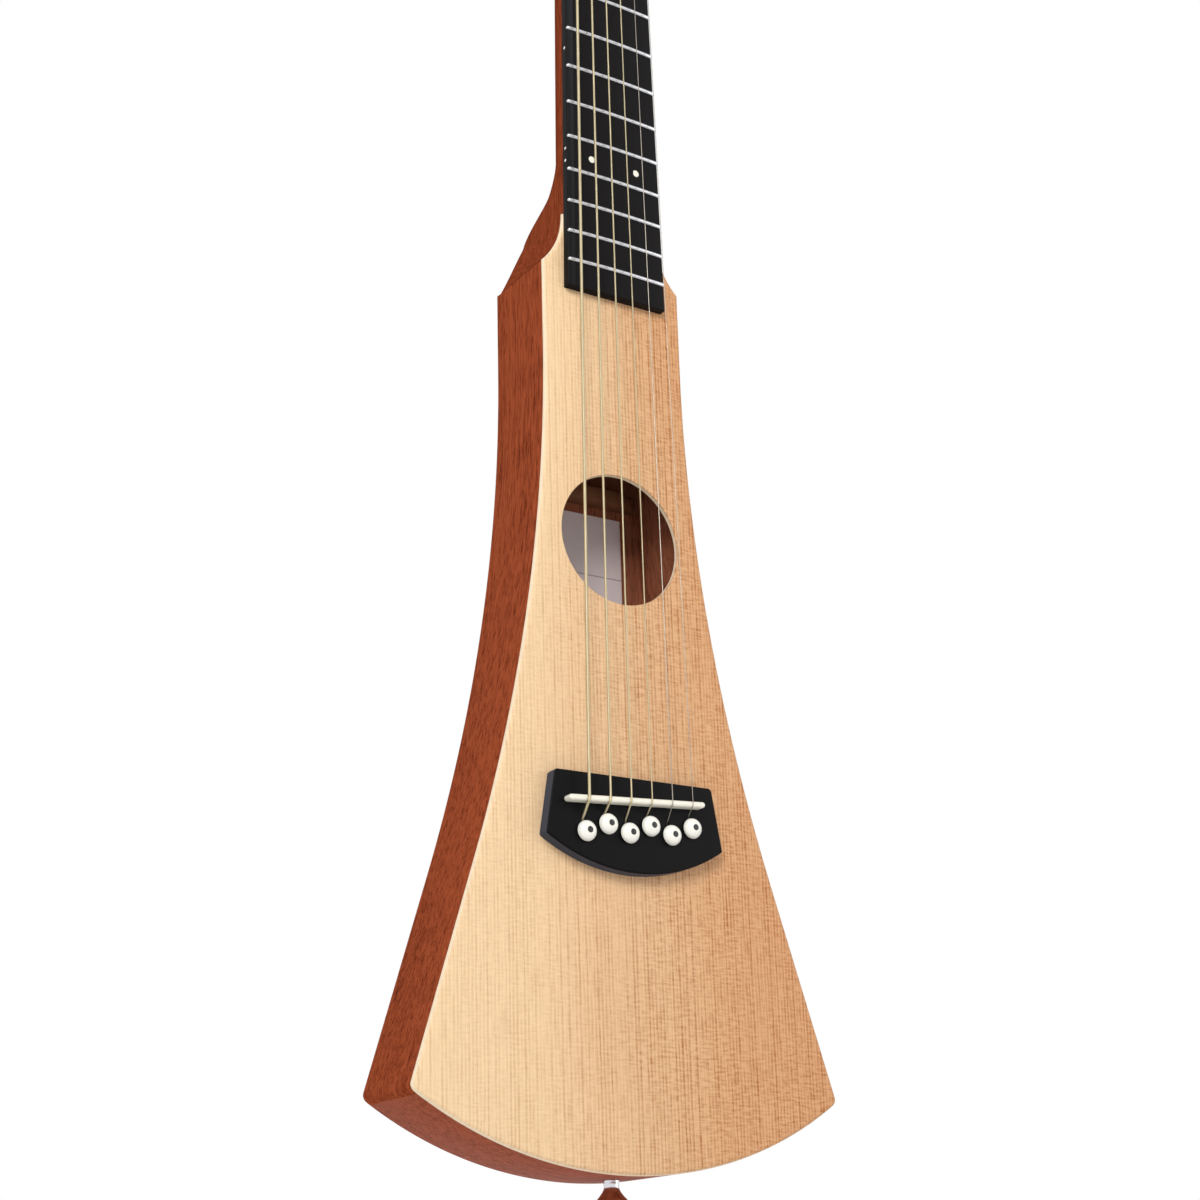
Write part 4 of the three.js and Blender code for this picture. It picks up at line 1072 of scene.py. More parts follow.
def make_side(sign, name, finish):
    """One side wall, whose end is the outside of the tail's corner."""
    inner_end = corner_place(SIDE_THICKNESS, TAIL_ARC_RADIUS)
    corner = tail_corner()
    outer = side_line(0, SHOULDER_PLACE, corner[0].y)[:-1] + corner
    seam_x = body_half_width(inner_end, SIDE_THICKNESS)
    tail = tail_line(corner[-1].x, seam_x, TAIL_ARC_RADIUS, 3)[1:]
    inner = side_line(SIDE_THICKNESS, SHOULDER_PLACE, inner_end)[:-1][::-1]
    groove = sizes().shoulder_groove
    outer[:1] = [outer[0] - Vector((groove, 0)), outer[0] + Vector((0, groove))]
    outline = [Vector((sign * p.x, p.y)) for p in outer + tail + inner]
    seam = sizes().seam_round
    wall = solid(f"{name}_mahogany", add_plate, outline, SOUNDBOARD_DEPTH, BACK_DEPTH, seam, seam)
    dress(wall, finish["mahogany"], "mahogany", replaces=[name])


def end_pin_frame():
    """The frame of the end pin, whose +Z runs out of the tail."""
    return Matrix.Translation((0, END_PIN_DEPTH, -TAIL_PLACE)) @ Matrix.Rotation(math.pi, 4, "X")


def make_tail_rim(finish):
    inset = SIDE_THICKNESS + TAIL_SEAM_GAP
    halves = [body_half_width(corner_place(inset, radius), inset)
              for radius in (TAIL_ARC_RADIUS, TAIL_ARC_RADIUS - RIM_THICKNESS)]
    outline = (tail_line(halves[0], -halves[0], TAIL_ARC_RADIUS, 90)
               + tail_line(-halves[1], halves[1], TAIL_ARC_RADIUS - RIM_THICKNESS, 60))
    seam = sizes().seam_round
    rim = solid("tail_rim_mahogany", add_plate, outline, SOUNDBOARD_DEPTH, BACK_DEPTH, seam, seam)
    bore = Matrix.Translation((0, END_PIN_DEPTH, -TAIL_PLACE))
    carve(rim, solid("drill", add_rod, END_PIN_BORE_RADIUS, -OVERRUN, RIM_THICKNESS + OVERRUN, 32, bore))
    soften(rim)
    dress(rim, finish["rim_mahogany"], "mahogany", replaces=["tail_rim"])


def make_back(finish):
    back = solid("back_panel_mahogany", add_plate, body_outline(False), BACK_DEPTH, BODY_DEPTH,
                 sizes().seam_round, sizes().back_edge_round)
    dress(back, finish["mahogany"], "mahogany", replaces=["back_panel"])


def refined_copy(node, edge):
    """A copy of a CAD node with its flat faces merged and its edges eased."""
    mesh = bmesh.new()
    mesh.from_mesh(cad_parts[node].data)
    bmesh.ops.remove_doubles(mesh, verts=mesh.verts, dist=COPY_WELD)
    bmesh.ops.dissolve_limit(mesh, angle_limit=FLAT_ANGLE, verts=mesh.verts, edges=mesh.edges)
    hard = [e for e in mesh.edges if len(e.link_faces) == 2 and e.calc_face_angle() > HARD_ANGLE]
    bmesh.ops.bevel(mesh, geom=hard, offset=edge, segments=2, profile=0.5, affect="EDGES", clamp_overlap=True)
    return piece_from(mesh, f"{node}_eased")


def make_inside(finish):
    """The blocks, braces, plate and label inside the body."""
    for node in ("tail_block", "upper_brace", "middle_brace", "lower_brace", "back_brace", "bridge_plate"):
        dress(refined_copy(node, INNER_EDGE_BREAK), finish["inner_wood"], "inner_wood", replaces=[node])
    dress(refined_copy("label", LABEL_EDGE_BREAK), finish["paper"], "paper", replaces=["label"])


def neck_depth(place):
    plain = between(NECK_DEPTH_AT_NUT, NECK_DEPTH_AT_HEEL, max(place, 0) / SHOULDER_PLACE)
    full_place = SHOULDER_PLACE - HEEL_FULL_FROM_SHOULDER
    return between(plain, BODY_DEPTH, ease((place - HEEL_TOP_PLACE) / (full_place - HEEL_TOP_PLACE)))


def neck_ring(place, front, depth, width_share=1.0, steps=80):
    """One section of the neck: a rounded back behind a flat front."""
    square_start = SHOULDER_PLACE - HEEL_SQUARE_FROM_SHOULDER
    squared = ease((place - square_start) / HEEL_SQUARE_FROM_SHOULDER)
    power = between(NECK_ROUNDNESS, HEEL_ROUNDNESS, squared)
    front_half = scoop_half_width(place) * width_share
    down = max(place - SCOOP_PLACE, 0) / SCOOP_LENGTH
    straight_half = between(board_half_width(SCOOP_PLACE), WAIST_HALF_WIDTH, down)
    ring = []
    for s in shares(steps):
        angle = math.pi * (1 - s)
        u, v = math.cos(angle), max(math.sin(angle), 0)
        reach = (abs(u) ** power + v**power) ** (-1 / power)
        y = max(front, v * reach * depth)
        fullness = HEEL_REAR_FULLNESS_SHARE * y / BODY_DEPTH if down > 0 else 0
        ring.append(at(between(front_half, straight_half, fullness) * u * reach, y, place))
    return ring


def blend_ring(share):
    """The neck's back fading into the back of the head."""
    rise = BLEND_RISE * (1 - share)
    face_depth = rise * math.tan(HEAD_TILT)
    head_back = face_depth + HEAD_THICKNESS / math.cos(HEAD_TILT) - BLEND_SINK
    depth = between(head_back, neck_depth(-NUT_THICKNESS), ease(share))
    width_share = between(BLEND_HALF_WIDTH_SHARE, 1, ease(share))
    return neck_ring(-NUT_THICKNESS - rise, face_depth + BLEND_SINK, depth, width_share)


def head_point(x, depth, place):
    return HEAD_FRAME @ at(x, depth, place)


def post_side(i):
    return -1 if i < STRING_COUNT / 2 else 1


def post_rise(i):
    return FIRST_POST_RISE + POST_SPACING * min(i, STRING_COUNT - 1 - i)


def post_frame(i):
    """The frame of a tuner post, whose +Z runs back through the head."""
    place = Matrix.Translation((post_side(i) * POST_FROM_CENTRE, 0, post_rise(i)))
    return HEAD_FRAME @ place @ Matrix.Rotation(-math.pi / 2, 4, "X")


def heel_button_frame():
    """The frame of the strap button, whose +Z runs back out of the heel."""
    return Matrix.Translation(at(0, BODY_DEPTH, HEEL_BUTTON_PLACE)) @ Matrix.Rotation(-math.pi / 2, 4, "X")


def neck_shaft():
    """The neck from the head's back down to the end of its heel."""
    blend = [blend_ring(s) for s in shares(12)[:-1]]
    places = [-NUT_THICKNESS] + [HEEL_TOP_PLACE * s for s in shares(14)[:-1]]
    places += [between(HEEL_TOP_PLACE, SCOOP_PLACE, s) for s in shares(22)]
    rings = blend + [neck_ring(place, 0, neck_depth(place)) for place in places]
    groove = sizes().shoulder_groove
    heel_end = SHOULDER_PLACE - groove
    rings += [neck_ring(between(SCOOP_PLACE, heel_end, s), SOUNDBOARD_DEPTH, BODY_DEPTH) for s in shares(24)]
    narrowing = 1 - groove / WAIST_HALF_WIDTH
    rings.append([at(p.x * narrowing, min(p.y, BODY_DEPTH - groove), SHOULDER_PLACE) for p in rings[-1]])
    return solid("neck_mahogany", add_loft, rings)


def head_blank():
    """The head without its bores."""
    foot_half = board_half_width(-NUT_THICKNESS) - HEAD_FOOT_INSET
    side = [(foot_half, 0)] + [(x * HEAD_HALF_WIDTH, -rise * HEAD_LENGTH) for x, rise in HEAD_CORNER_SHARES]
    corners = side + [(-x, place) for x, place in reversed(side[:-1])]
    rounds = [0] + HEAD_CORNER_ROUNDS + HEAD_CORNER_ROUNDS[-2::-1] + [0]
    edge = sizes().head_edge_round
    outline = rounded(corners, rounds)
    return solid("head", add_plate, outline, 0, HEAD_THICKNESS, edge, edge, space=head_point)


def neck_block():
    """The end of the neck that stands inside the body."""
    half = WAIST_HALF_WIDTH - SIDE_THICKNESS - BLOCK_GAP
    return solid("block", add_box, at(-half, SOUNDBOARD_DEPTH, SHOULDER_PLACE - OVERRUN),
                 at(half, BACK_DEPTH, SHOULDER_PLACE + BLOCK_LENGTH))


def neck_bores():
    """The bores for the tuner posts and for the strap button's shank."""
    mesh = bmesh.new()
    for i in STRINGS:
        add_rod(mesh, POST_BORE_RADIUS, -OVERRUN, HEAD_THICKNESS + OVERRUN, 32, post_frame(i))
    add_rod(mesh, HEEL_BUTTON_BORE_RADIUS, -HEEL_BUTTON_BORE_DEPTH, OVERRUN, 24, heel_button_frame())
    return piece_from(mesh, "bores")


def make_neck(finish):
    neck = neck_shaft()
    carve(neck, head_blank(), "UNION")
    carve(neck, neck_block(), "UNION")
    carve(neck, neck_bores())
    soften(neck, 32)
    # The neck, heel and head take the mahogany darkened as painted shade.
    dress(neck, finish["neck_mahogany"], "mahogany", replaces=["neck"])


def camber_drop(x):
    """How far the arched face falls away from its middle."""
    return x**2 / (2 * sizes().board_camber)


def make_fingerboard(finish):
    roll = sizes().board_edge_roll

    def section(place, trim):
        half = board_half_width(place) - trim
        edge = half - roll
        top = trim - BOARD_THICKNESS
        face = [(x, top + camber_drop(x)) for x in (edge * (1 - 2 * s) for s in shares(16))]
        roll_depth = top + camber_drop(edge) + roll
        right = [(edge + roll * math.sin(a), roll_depth - roll * math.cos(a))
                 for a in angles(math.pi / 2, 5)[1:]]
        left = [(-x, y) for x, y in right]
        outline = right[::-1] + face + left + [(-half, 0), (half, 0)]
        return [at(x, y, place) for x, y in outline]

    trim = BOARD_END_BREAK
    rows = [(0, trim), (trim, 0)] + [(BOARD_LENGTH * s, 0) for s in shares(40)[1:-1]]
    rows += [(BOARD_LENGTH - trim, 0), (BOARD_LENGTH, trim)]
    board = solid("fingerboard_black", add_loft, [section(*row) for row in rows])
    dress(board, finish["black_board"], "black_board", replaces=["fingerboard"])


def nodes_tree(name, inputs):
    """A geometry tree that takes Geometry and named inputs, each a socket type and a default."""
    tree = bpy.data.node_groups.new(name, "GeometryNodeTree")
    face = tree.interface
    face.new_socket("Geometry", in_out="INPUT", socket_type="NodeSocketGeometry")
    face.new_socket("Geometry", in_out="OUTPUT", socket_type="NodeSocketGeometry")
    for label, (kind, default) in inputs.items():
        socket = face.new_socket(label, in_out="INPUT", socket_type=kind)
        if default is not None:
            socket.default_value = default
    start = Term(tree)
    group = start.node("NodeGroupInput").socket.node
    return start, {socket.name: Term(tree, socket) for socket in group.outputs if socket.name}


def end_tree(start, geometry, finish):
    """Realizes what the tree made and gives it its material."""
    real = start.node("GeometryNodeRealizeInstances", inputs={"Geometry": geometry})
    dressed = start.node("GeometryNodeSetMaterial", inputs={"Geometry": real, "Material": finish})
    start.node("NodeGroupOutput", inputs={"Geometry": dressed})
    return start.tree


def run_tree(piece, tree, values):
    """Runs a geometry tree on a piece with named values, and keeps the plain mesh."""
    modifier = piece.modifiers.new(tree.name, "NODES")
    modifier.node_group = tree
    for item in tree.interface.items_tree:
        if item.item_type == "SOCKET" and item.in_out == "INPUT" and item.name in values:
            modifier[item.identifier] = values[item.name]
    return settle(piece)


def fret_tree():
    """Crowns at the frets' places, as wide as the board is there and bent over its camber."""
    start, given = nodes_tree("fret_row", {
        "Count": ("NodeSocketInt", FRET_COUNT),
        "Scale Length": ("NodeSocketFloat", SCALE_LENGTH),
        "Nut Width": ("NodeSocketFloat", NUT_WIDTH),
        "Taper": ("NodeSocketFloat", None),
        "End Inset": ("NodeSocketFloat", FRET_END_INSET),
        "Camber": ("NodeSocketFloat", None),
        "Crown Metal": ("NodeSocketMaterial", None),
    })
    number = start.node("GeometryNodeInputIndex") + 1
    share = 1 - start.node("ShaderNodeMath", {"operation": "POWER"}, {0: 2.0, 1: number * (-1 / SEMITONES)})
    place = given["Scale Length"] * share
    line = start.node("GeometryNodeMeshLine", inputs={"Count": given["Count"], "Offset": (0, 0, 0)})
    spot = start.node("ShaderNodeCombineXYZ", inputs={2: place * -1})
    points = start.node("GeometryNodeSetPosition", inputs={"Geometry": line, "Position": spot})
    width = given["Nut Width"] + given["Taper"] * place - given["End Inset"] * 2
    stretch = start.node("ShaderNodeCombineXYZ", inputs={0: width, 1: 1.0, 2: 1.0})
    rows = start.node("GeometryNodeInstanceOnPoints", inputs={
        "Points": points, "Instance": given["Geometry"], "Scale": stretch})
    real = start.node("GeometryNodeRealizeInstances", inputs={"Geometry": rows})
    x, _, _ = start.node("GeometryNodeInputPosition").parts()
    drop = start.node("ShaderNodeCombineXYZ", inputs={1: x * x / (given["Camber"] * 2)})
    bent = start.node("GeometryNodeSetPosition", inputs={"Geometry": real, "Offset": drop})
    return end_tree(start, bent, given["Crown Metal"])


def make_frets(finish):
    """The frets' crowns, made from one crown of unit length along X."""
    half_width, height = sizes().fret_width / 2, sizes().fret_height
    ends = [(along - 0.5, size) for along, size in FRET_END_SHARES]
    spans = ends + [(s - 0.5, 1) for s in shares(12)[1:-1]] + [(-x, size) for x, size in reversed(ends)]

    def crown(x, size):
        half, rise, foot = half_width * size, height * size, FRET_FOOT - BOARD_THICKNESS
        ring = [(x, -BOARD_THICKNESS - rise * math.sin(a), half * math.cos(a)) for a in angles(math.pi, 12)]
        return [Vector(p) for p in ring + [(x, foot, -half), (x, foot, half)]]

    frets = solid("frets_crowned", add_loft, [crown(*span) for span in spans], sharp=60)
    run_tree(frets, fret_tree(), {
        "Taper": (BOARD_END_WIDTH - NUT_WIDTH) / BOARD_LENGTH,
        "Camber": sizes().board_camber,
        "Crown Metal": finish["fret_metal"],
    })
    soften(frets, 60)
    nodes = [f"fret_{number}" for number in range(1, FRET_COUNT + 1)]
    dress(frets, None, "fret_metal", replaces=nodes)


def scatter_tree():
    """Copies of a small piece on the points of a mesh, all turned alike."""
    start, given = nodes_tree("small_pieces", {
        "Piece": ("NodeSocketObject", None),
        "Turn": ("NodeSocketVector", (0, 0, 0)),
        "Finish": ("NodeSocketMaterial", None),
    })
    piece = start.node("GeometryNodeObjectInfo", inputs={"Object": given["Piece"]}, output="Geometry")
    rows = start.node("GeometryNodeInstanceOnPoints", inputs={
        "Points": given["Geometry"], "Instance": piece, "Rotation": given["Turn"]})
    return end_tree(start, rows, given["Finish"])


def scattered(name, points, pattern, turn, finish):
    """A piece made of copies of a pattern at some points. The pattern is used up."""
    mesh = bmesh.new()
    for point in points:
        mesh.verts.new(point)
    data = bpy.data.meshes.new(name)
    mesh.to_mesh(data)
    mesh.free()
    piece = placed(name, data)
    tree = bpy.data.node_groups.get("small_pieces") or scatter_tree()
    run_tree(piece, tree, {"Piece": pattern, "Turn": turn, "Finish": finish})
    bpy.data.objects.remove(pattern)
    soften(piece)
    return piece


def dot_pattern(radius):
    """A dot whose face stands a hair above its bed, along +Z."""
    profile = [(0, -DOT_SUNK), (radius, -DOT_SUNK), (radius, 0), (radius - DOT_EDGE, DOT_LIFT), (0, DOT_LIFT)]
    return solid("dot_pattern", add_turned, profile, 24)


def make_dots(finish):
    """The position dots: two on the face at the octave, and single and double ones on the bass edge."""
    def middle(number):
        return (fret_place(number - 1) + fret_place(number)) / 2

    octave = middle(SEMITONES) + OCTAVE_DOT_SHIFT
    face_depth = camber_drop(FACE_DOT_FROM_CENTRE) - BOARD_THICKNESS
    face_points = [at(side * FACE_DOT_FROM_CENTRE, face_depth, octave) for side in (-1, 1)]
    places = [middle(number) for number in DOTTED_FRETS]
    places += [octave - SIDE_DOT_HALF_GAP, octave + SIDE_DOT_HALF_GAP]
    side_depth = -BOARD_THICKNESS * SIDE_DOT_HEIGHT_SHARE
    side_points = [at(-board_half_width(place), side_depth, place) for place in places]
    for name, points, radius, turn in (
            ("face_dots", face_points, sizes().face_dot, (math.pi / 2, 0, 0)),
            ("side_dots", side_points, sizes().side_dot, (0, -math.pi / 2, 0))):
        dress(scattered(name, points, dot_pattern(radius), turn, finish["bone"]), None, "bone")


def string_x_at_nut(i):
    return NUT_STRING_SHIFT + across(i) * NUT_STRING_SPREAD


def string_bend(i):
    """Where a string turns down into its pin hole."""
    return at(pin_x(i) - STRING_BESIDE_PIN_AXIS, -STRING_BEND_HEIGHT, pin_place(i) - STRING_BEFORE_PIN_AXIS)


def string_over_saddle(i):
    """The middle of a string round the saddle's crest, until it leaves for its pin hole."""
    x = SADDLE_STRING_SHIFT + across(i) * SADDLE_STRING_SPREAD
    crest = SADDLE_THICKNESS / 2
    centre = Vector((saddle_place(x), SADDLE_TOP - crest))
    reach = crest + REST_GAP / 2 + STRING_RADII[i]
    bend = string_bend(i)
    fall = Vector((-bend.z, -bend.y)) - centre
    leave = math.atan2(-fall.y, fall.x) + math.asin(reach / fall.length)
    return [at(x, -centre.y - reach * math.cos(a), centre.x + reach * math.sin(a)) for a in angles(leave, 6)]


def string_route(i):
    """The middle of a string, from its post over the nut and the saddle to the ball under the top."""
    radius = STRING_RADII[i]
    post_x = post_side(i) * (POST_FROM_CENTRE - POST_RADIUS - radius)
    post = HEAD_FRAME @ Vector((post_x, -WINDING_HEIGHT, post_rise(i)))
    nut_depth = -BOARD_THICKNESS - STRING_CLEAR_AT_NUT - radius
    at_nut = at(string_x_at_nut(i), nut_depth, 0)
    nut_back = at_nut + (post - at_nut) * (NUT_THICKNESS / (post.z - at_nut.z))
    over, bend = string_over_saddle(i), string_bend(i)
    under = at(bend.x, BRIDGE_PLATE_DEPTH + BEND_BELOW_PLATE, -bend.z)
    ball = at(bend.x, BRIDGE_PLATE_DEPTH + BALL_BELOW_PLATE, pin_place(i) - BALL_ABOVE_PIN)
    start = over[-1] + (bend - over[-1]) * BEND_START_SHARE
    turned = bow(start, bend, bend + (under - bend) * BEND_END_SHARE, 5)
    return [post, nut_back, at_nut] + over + turned + [under, ball]


def string_number(i):
    """The player's number of a string, which counts from the thinnest."""
    return STRING_COUNT - i


def string_kind(i):
    return "wound_string" if i < WOUND_COUNT else "plain_string"


def make_strings(finish):
    half, waist, flange = BALL_HALF_WIDTH, BALL_WAIST_RADIUS, BALL_FLANGE_RADIUS
    inner = half - BALL_FLANGE_THICKNESS
    ball = [(0, -half), (flange, -half), (flange, -inner), (waist, -inner), (waist, inner), (flange, inner),
            (flange, half), (0, half)]
    for i in STRINGS:
        number, kind = string_number(i), string_kind(i)
        mesh = bmesh.new()
        points = string_route(i)
        add_tube(mesh, points, STRING_RADII[i], 14)
        add_turned(mesh, ball, 20, Matrix.Translation(points[-1]) @ Matrix.Rotation(math.pi / 2, 4, "Y"))
        dress(piece_from(mesh, f"string_{number}_drawn"), finish[kind], kind, replaces=[f"string_{number}"])


def nut_point(x, depth, rise):
    return Vector((x, -rise, -depth))


def make_nut(finish):
    """The nut, with a slot under each string along its own line."""
    top = BOARD_THICKNESS + STRING_CLEAR_AT_NUT + NUT_ABOVE_STRINGS
    half = NUT_WIDTH / 2
    outline = rounded([(-half, 0), (half, 0), (half, top), (-half, top)], [0, 0, NUT_CORNER, NUT_CORNER])
    nut = solid("nut_bone", add_plate, outline, -NUT_THICKNESS, 0, NUT_EDGE, NUT_EDGE / 2, space=nut_point)
    slots = bmesh.new()
    for i in STRINGS:
        back, _, front = string_route(i)[:3]
        line = (front - back).normalized()
        ends = front - line * NUT_SLOT_RUN, front + line * OVERRUN
        add_channel(slots, ends, STRING_RADII[i] + NUT_SLOT_SLACK, NUT_SLOT_HEIGHT, 10)
    carve(nut, piece_from(slots, "slots"))
    soften(nut)
    dress(nut, finish["bone"], "bone", replaces=["nut"])


def saddle_point(x, depth, place):
    """A point of the saddle's own slanted frame."""
    middle = Matrix.Translation(at(SADDLE_SHIFT, 0, saddle_place(SADDLE_SHIFT)))
    return middle @ Matrix.Rotation(-math.atan(SADDLE_SLANT), 4, "Y") @ at(x, depth, place)


def stadium(half_length, half_width, steps=10):
    """A bar's outline with round ends, about the origin."""
    bulge = half_length - half_width
    right = [Vector((bulge + half_width * math.sin(a), -half_width * math.cos(a)))
             for a in angles(math.pi, steps)]
    return right + [-p for p in right]


def make_saddle(finish):
    outline = stadium(SADDLE_HALF_LENGTH, SADDLE_THICKNESS / 2)
    foot = SADDLE_SUNK - BRIDGE_THICKNESS
    saddle = solid("saddle_bone", add_plate, outline, -SADDLE_TOP, foot,
                   SADDLE_THICKNESS * SADDLE_ROUND_SHARE, space=saddle_point)
    dress(saddle, finish["bone"], "bone", replaces=["saddle"])


def bridge_outline():
    top = SADDLE_CENTRE_PLACE - BRIDGE_TOP_FROM_SADDLE
    arc_centre = SADDLE_CENTRE_PLACE + BRIDGE_ARC_FROM_SADDLE - BRIDGE_ARC_RADIUS
    xs = [BRIDGE_HALF_WIDTH * (1 - 2 * s) for s in shares(64)]
    arc = [Vector((x, arc_centre + math.sqrt(BRIDGE_ARC_RADIUS**2 - x**2))) for x in xs]
    corner = [Vector((BRIDGE_TOP_HALF_WIDTH - BRIDGE_CORNER, top)),
              Vector((BRIDGE_TOP_HALF_WIDTH, top + BRIDGE_CORNER))]
    corners = [point + Vector((BRIDGE_SHIFT, 0)) for point in corner + arc + mirrored(corner)]
    side = [BRIDGE_TOP_ROUND, BRIDGE_TOP_ROUND, BRIDGE_END_ROUND]
    return rounded(corners, side + [0] * (len(arc) - 2) + side[::-1], 4)


def string_ramp(i):
    """The slot that leads a string down into its pin hole."""
    crest, bend = string_over_saddle(i)[-1], string_bend(i)
    line = (bend - crest).normalized()
    start = bend - line * ((bend - crest).length * (1 - RAMP_START_SHARE))
    ends = start, bend + line * RAMP_OVERRUN
    return solid("ramp", add_channel, ends, STRING_RADII[i] + RAMP_SLACK, RAMP_HEIGHT, 8)


def make_bridge(finish):
    holes = [circle(pin_x(i), pin_place(i), PIN_HOLE_RADIUS, 32) for i in STRINGS]
    edge = sizes().bridge_edge
    bridge = solid("bridge_black", add_plate, bridge_outline(), -BRIDGE_THICKNESS, 0, edge, 0, holes)
    slack = SADDLE_SLOT_SLACK
    outline = stadium(SADDLE_HALF_LENGTH + slack, SADDLE_THICKNESS / 2 + slack)
    floor = SADDLE_SUNK + slack - BRIDGE_THICKNESS
    top = -BRIDGE_THICKNESS - OVERRUN
    carve(bridge, solid("saddle_slot", add_plate, outline, top, floor, space=saddle_point))
    for i in STRINGS:
        carve(bridge, string_ramp(i))
    soften(bridge)
    dress(bridge, finish["black_bridge"], "black_bridge", replaces=["bridge"])


def pin_frame(i):
    """The frame of a bridge pin, whose +Z runs out of the bridge."""
    seat = at(pin_x(i), -BRIDGE_THICKNESS - PIN_SEAT_GAP, pin_place(i))
    return Matrix.Translation(seat) @ Matrix.Rotation(math.pi / 2, 4, "X")


def pin_profile():
    """The shank, the collar, the crowned head and the bed of its dot."""
    head = [(r * PIN_HEAD_RADIUS, along * PIN_HEAD_HEIGHT) for r, along in PIN_HEAD_SHARES]
    tip = PIN_TIP_RADIUS
    shank = [(0, -PIN_LENGTH), (tip - PIN_TIP_ROUND, -PIN_LENGTH), (tip, PIN_TIP_ROUND - PIN_LENGTH)]
    collar = [(PIN_SHANK_RADIUS, -PIN_COLLAR_STEP), (PIN_SHANK_RADIUS + PIN_COLLAR_STEP, 0),
              (head[0][0] - PIN_COLLAR_FROM_HEAD, 0), head[0]]
    crown = [tuple(p) for p in curve_through(head[1:], 5)]
    radius, bed = sizes().pin_dot, PIN_HEAD_HEIGHT - PIN_DOT_BED
    return shank + collar + crown + [(radius, PIN_HEAD_HEIGHT), (radius - PIN_DOT_STEP, bed), (0, bed)]


def pin_dot_profile():
    """A dot with a low dome, let into the head."""
    radius, foot = sizes().pin_dot - PIN_DOT_GAP, PIN_HEAD_HEIGHT - PIN_DOT_SUNK
    dome = [(r * radius, PIN_HEAD_HEIGHT + up * PIN_DOT_RISE) for r, up in PIN_DOT_SHARES]
    return [(0, foot), (radius, foot)] + dome


def pin_flute(i):
    """What cuts the flute down a pin's shank, where its string lies."""
    half = PIN_FLUTE_WIDTH / 2
    middle = pin_x(i) - STRING_BESIDE_PIN_AXIS
    top = -BRIDGE_THICKNESS - PIN_FLUTE_ABOVE_BRIDGE
    near = pin_place(i) - PIN_SHANK_RADIUS
    return solid("flute", add_box, at(middle - half, top, near - OVERRUN),
                 at(middle + half, PIN_LENGTH, pin_place(i) - PIN_FLUTE_FROM_AXIS))


def make_pins(finish):
    """The bridge pins, each with a black dot let into its head and a flute for its string."""
    for i in STRINGS:
        number = string_number(i)
        body, matrix = f"pin_{number}", pin_frame(i)
        pin = solid(f"bridge_pin_{number}_turned", add_turned, pin_profile(), sizes().round_segments, matrix)
        carve(pin, pin_flute(i))
        soften(pin)
        dress(pin, finish["pin_plastic"], "pin_plastic", body, [f"bridge_pin_{number}"])
        dot = solid(f"pin_dot_{number}", add_turned, pin_dot_profile(), 32, matrix)
        dress(dot, finish["pin_dot"], "black_bridge", body)


def worm_frame(i):
    """The frame of a knob's shaft, whose +X is the axis."""
    rise = post_rise(i) - WORM_FROM_POST
    return HEAD_FRAME @ Matrix.Translation((post_side(i) * POST_FROM_CENTRE, WORM_DEPTH, rise))


def winding(i):
    """The turns of a string round its post, from the hole down to where the string leaves it."""
    radius = STRING_RADII[i]
    reach = POST_RADIUS + radius
    drop = STRING_HOLE_HEIGHT - WINDING_HEIGHT
    turns = min(drop / (2 * radius) * TURNS_FULLNESS_SHARE, MOST_TURNS)
    last = math.pi if post_side(i) > 0 else 0
    points = [Vector((0, 0, -STRING_HOLE_HEIGHT))]
    for s in shares(math.ceil(turns * 28)):
        angle = last + post_side(i) * 2 * math.pi * turns * (1 - s)
        points.append(polar(reach, angle, drop * s - STRING_HOLE_HEIGHT))
    return points


def post_profile():
    """A post from its top, past the waist that the string winds on, to the screw behind the gear."""
    radius, waist, slope, top = POST_RADIUS, POST_WAIST_RADIUS, POST_WAIST_SLOPE, -POST_TOP_HEIGHT
    end = WORM_DEPTH + GEAR_THICKNESS / 2 + POST_PAST_GEAR
    screw_end = end - POST_SCREW_DEPTH
    return [(0, top), (radius - POST_TOP_ROUND, top), (radius - POST_CREST, top + POST_CREST),
            (radius, top + POST_TOP_ROUND), (radius, POST_WAIST_FROM - slope), (waist, POST_WAIST_FROM),
            (waist, POST_WAIST_TO), (radius, POST_WAIST_TO + slope), (radius, end - POST_END_ROUND),
            (radius - POST_END_ROUND, end), (POST_SCREW_RADIUS, end), (POST_SCREW_RADIUS, screw_end),
            (0, screw_end)]


def gear_outline():
    """A tooth's corners, repeated round the wheel."""
    step = 2 * math.pi / GEAR_TEETH
    middle = (GEAR_RADIUS + GEAR_ROOT_RADIUS) / 2
    radii = (GEAR_ROOT_RADIUS, middle, GEAR_RADIUS, GEAR_RADIUS, middle, GEAR_ROOT_RADIUS)
    corners = [((k + share) * step, radius) for k in range(GEAR_TEETH)
               for share, radius in zip(TOOTH_SHARES, radii)]
    return [Vector((radius * math.sin(a), radius * math.cos(a))) for a, radius in corners]


def gear_space(i):
    """Places a gear's outline, which is seen along its post."""
    matrix = post_frame(i)
    return lambda x, depth, y: matrix @ Vector((x, y, depth))


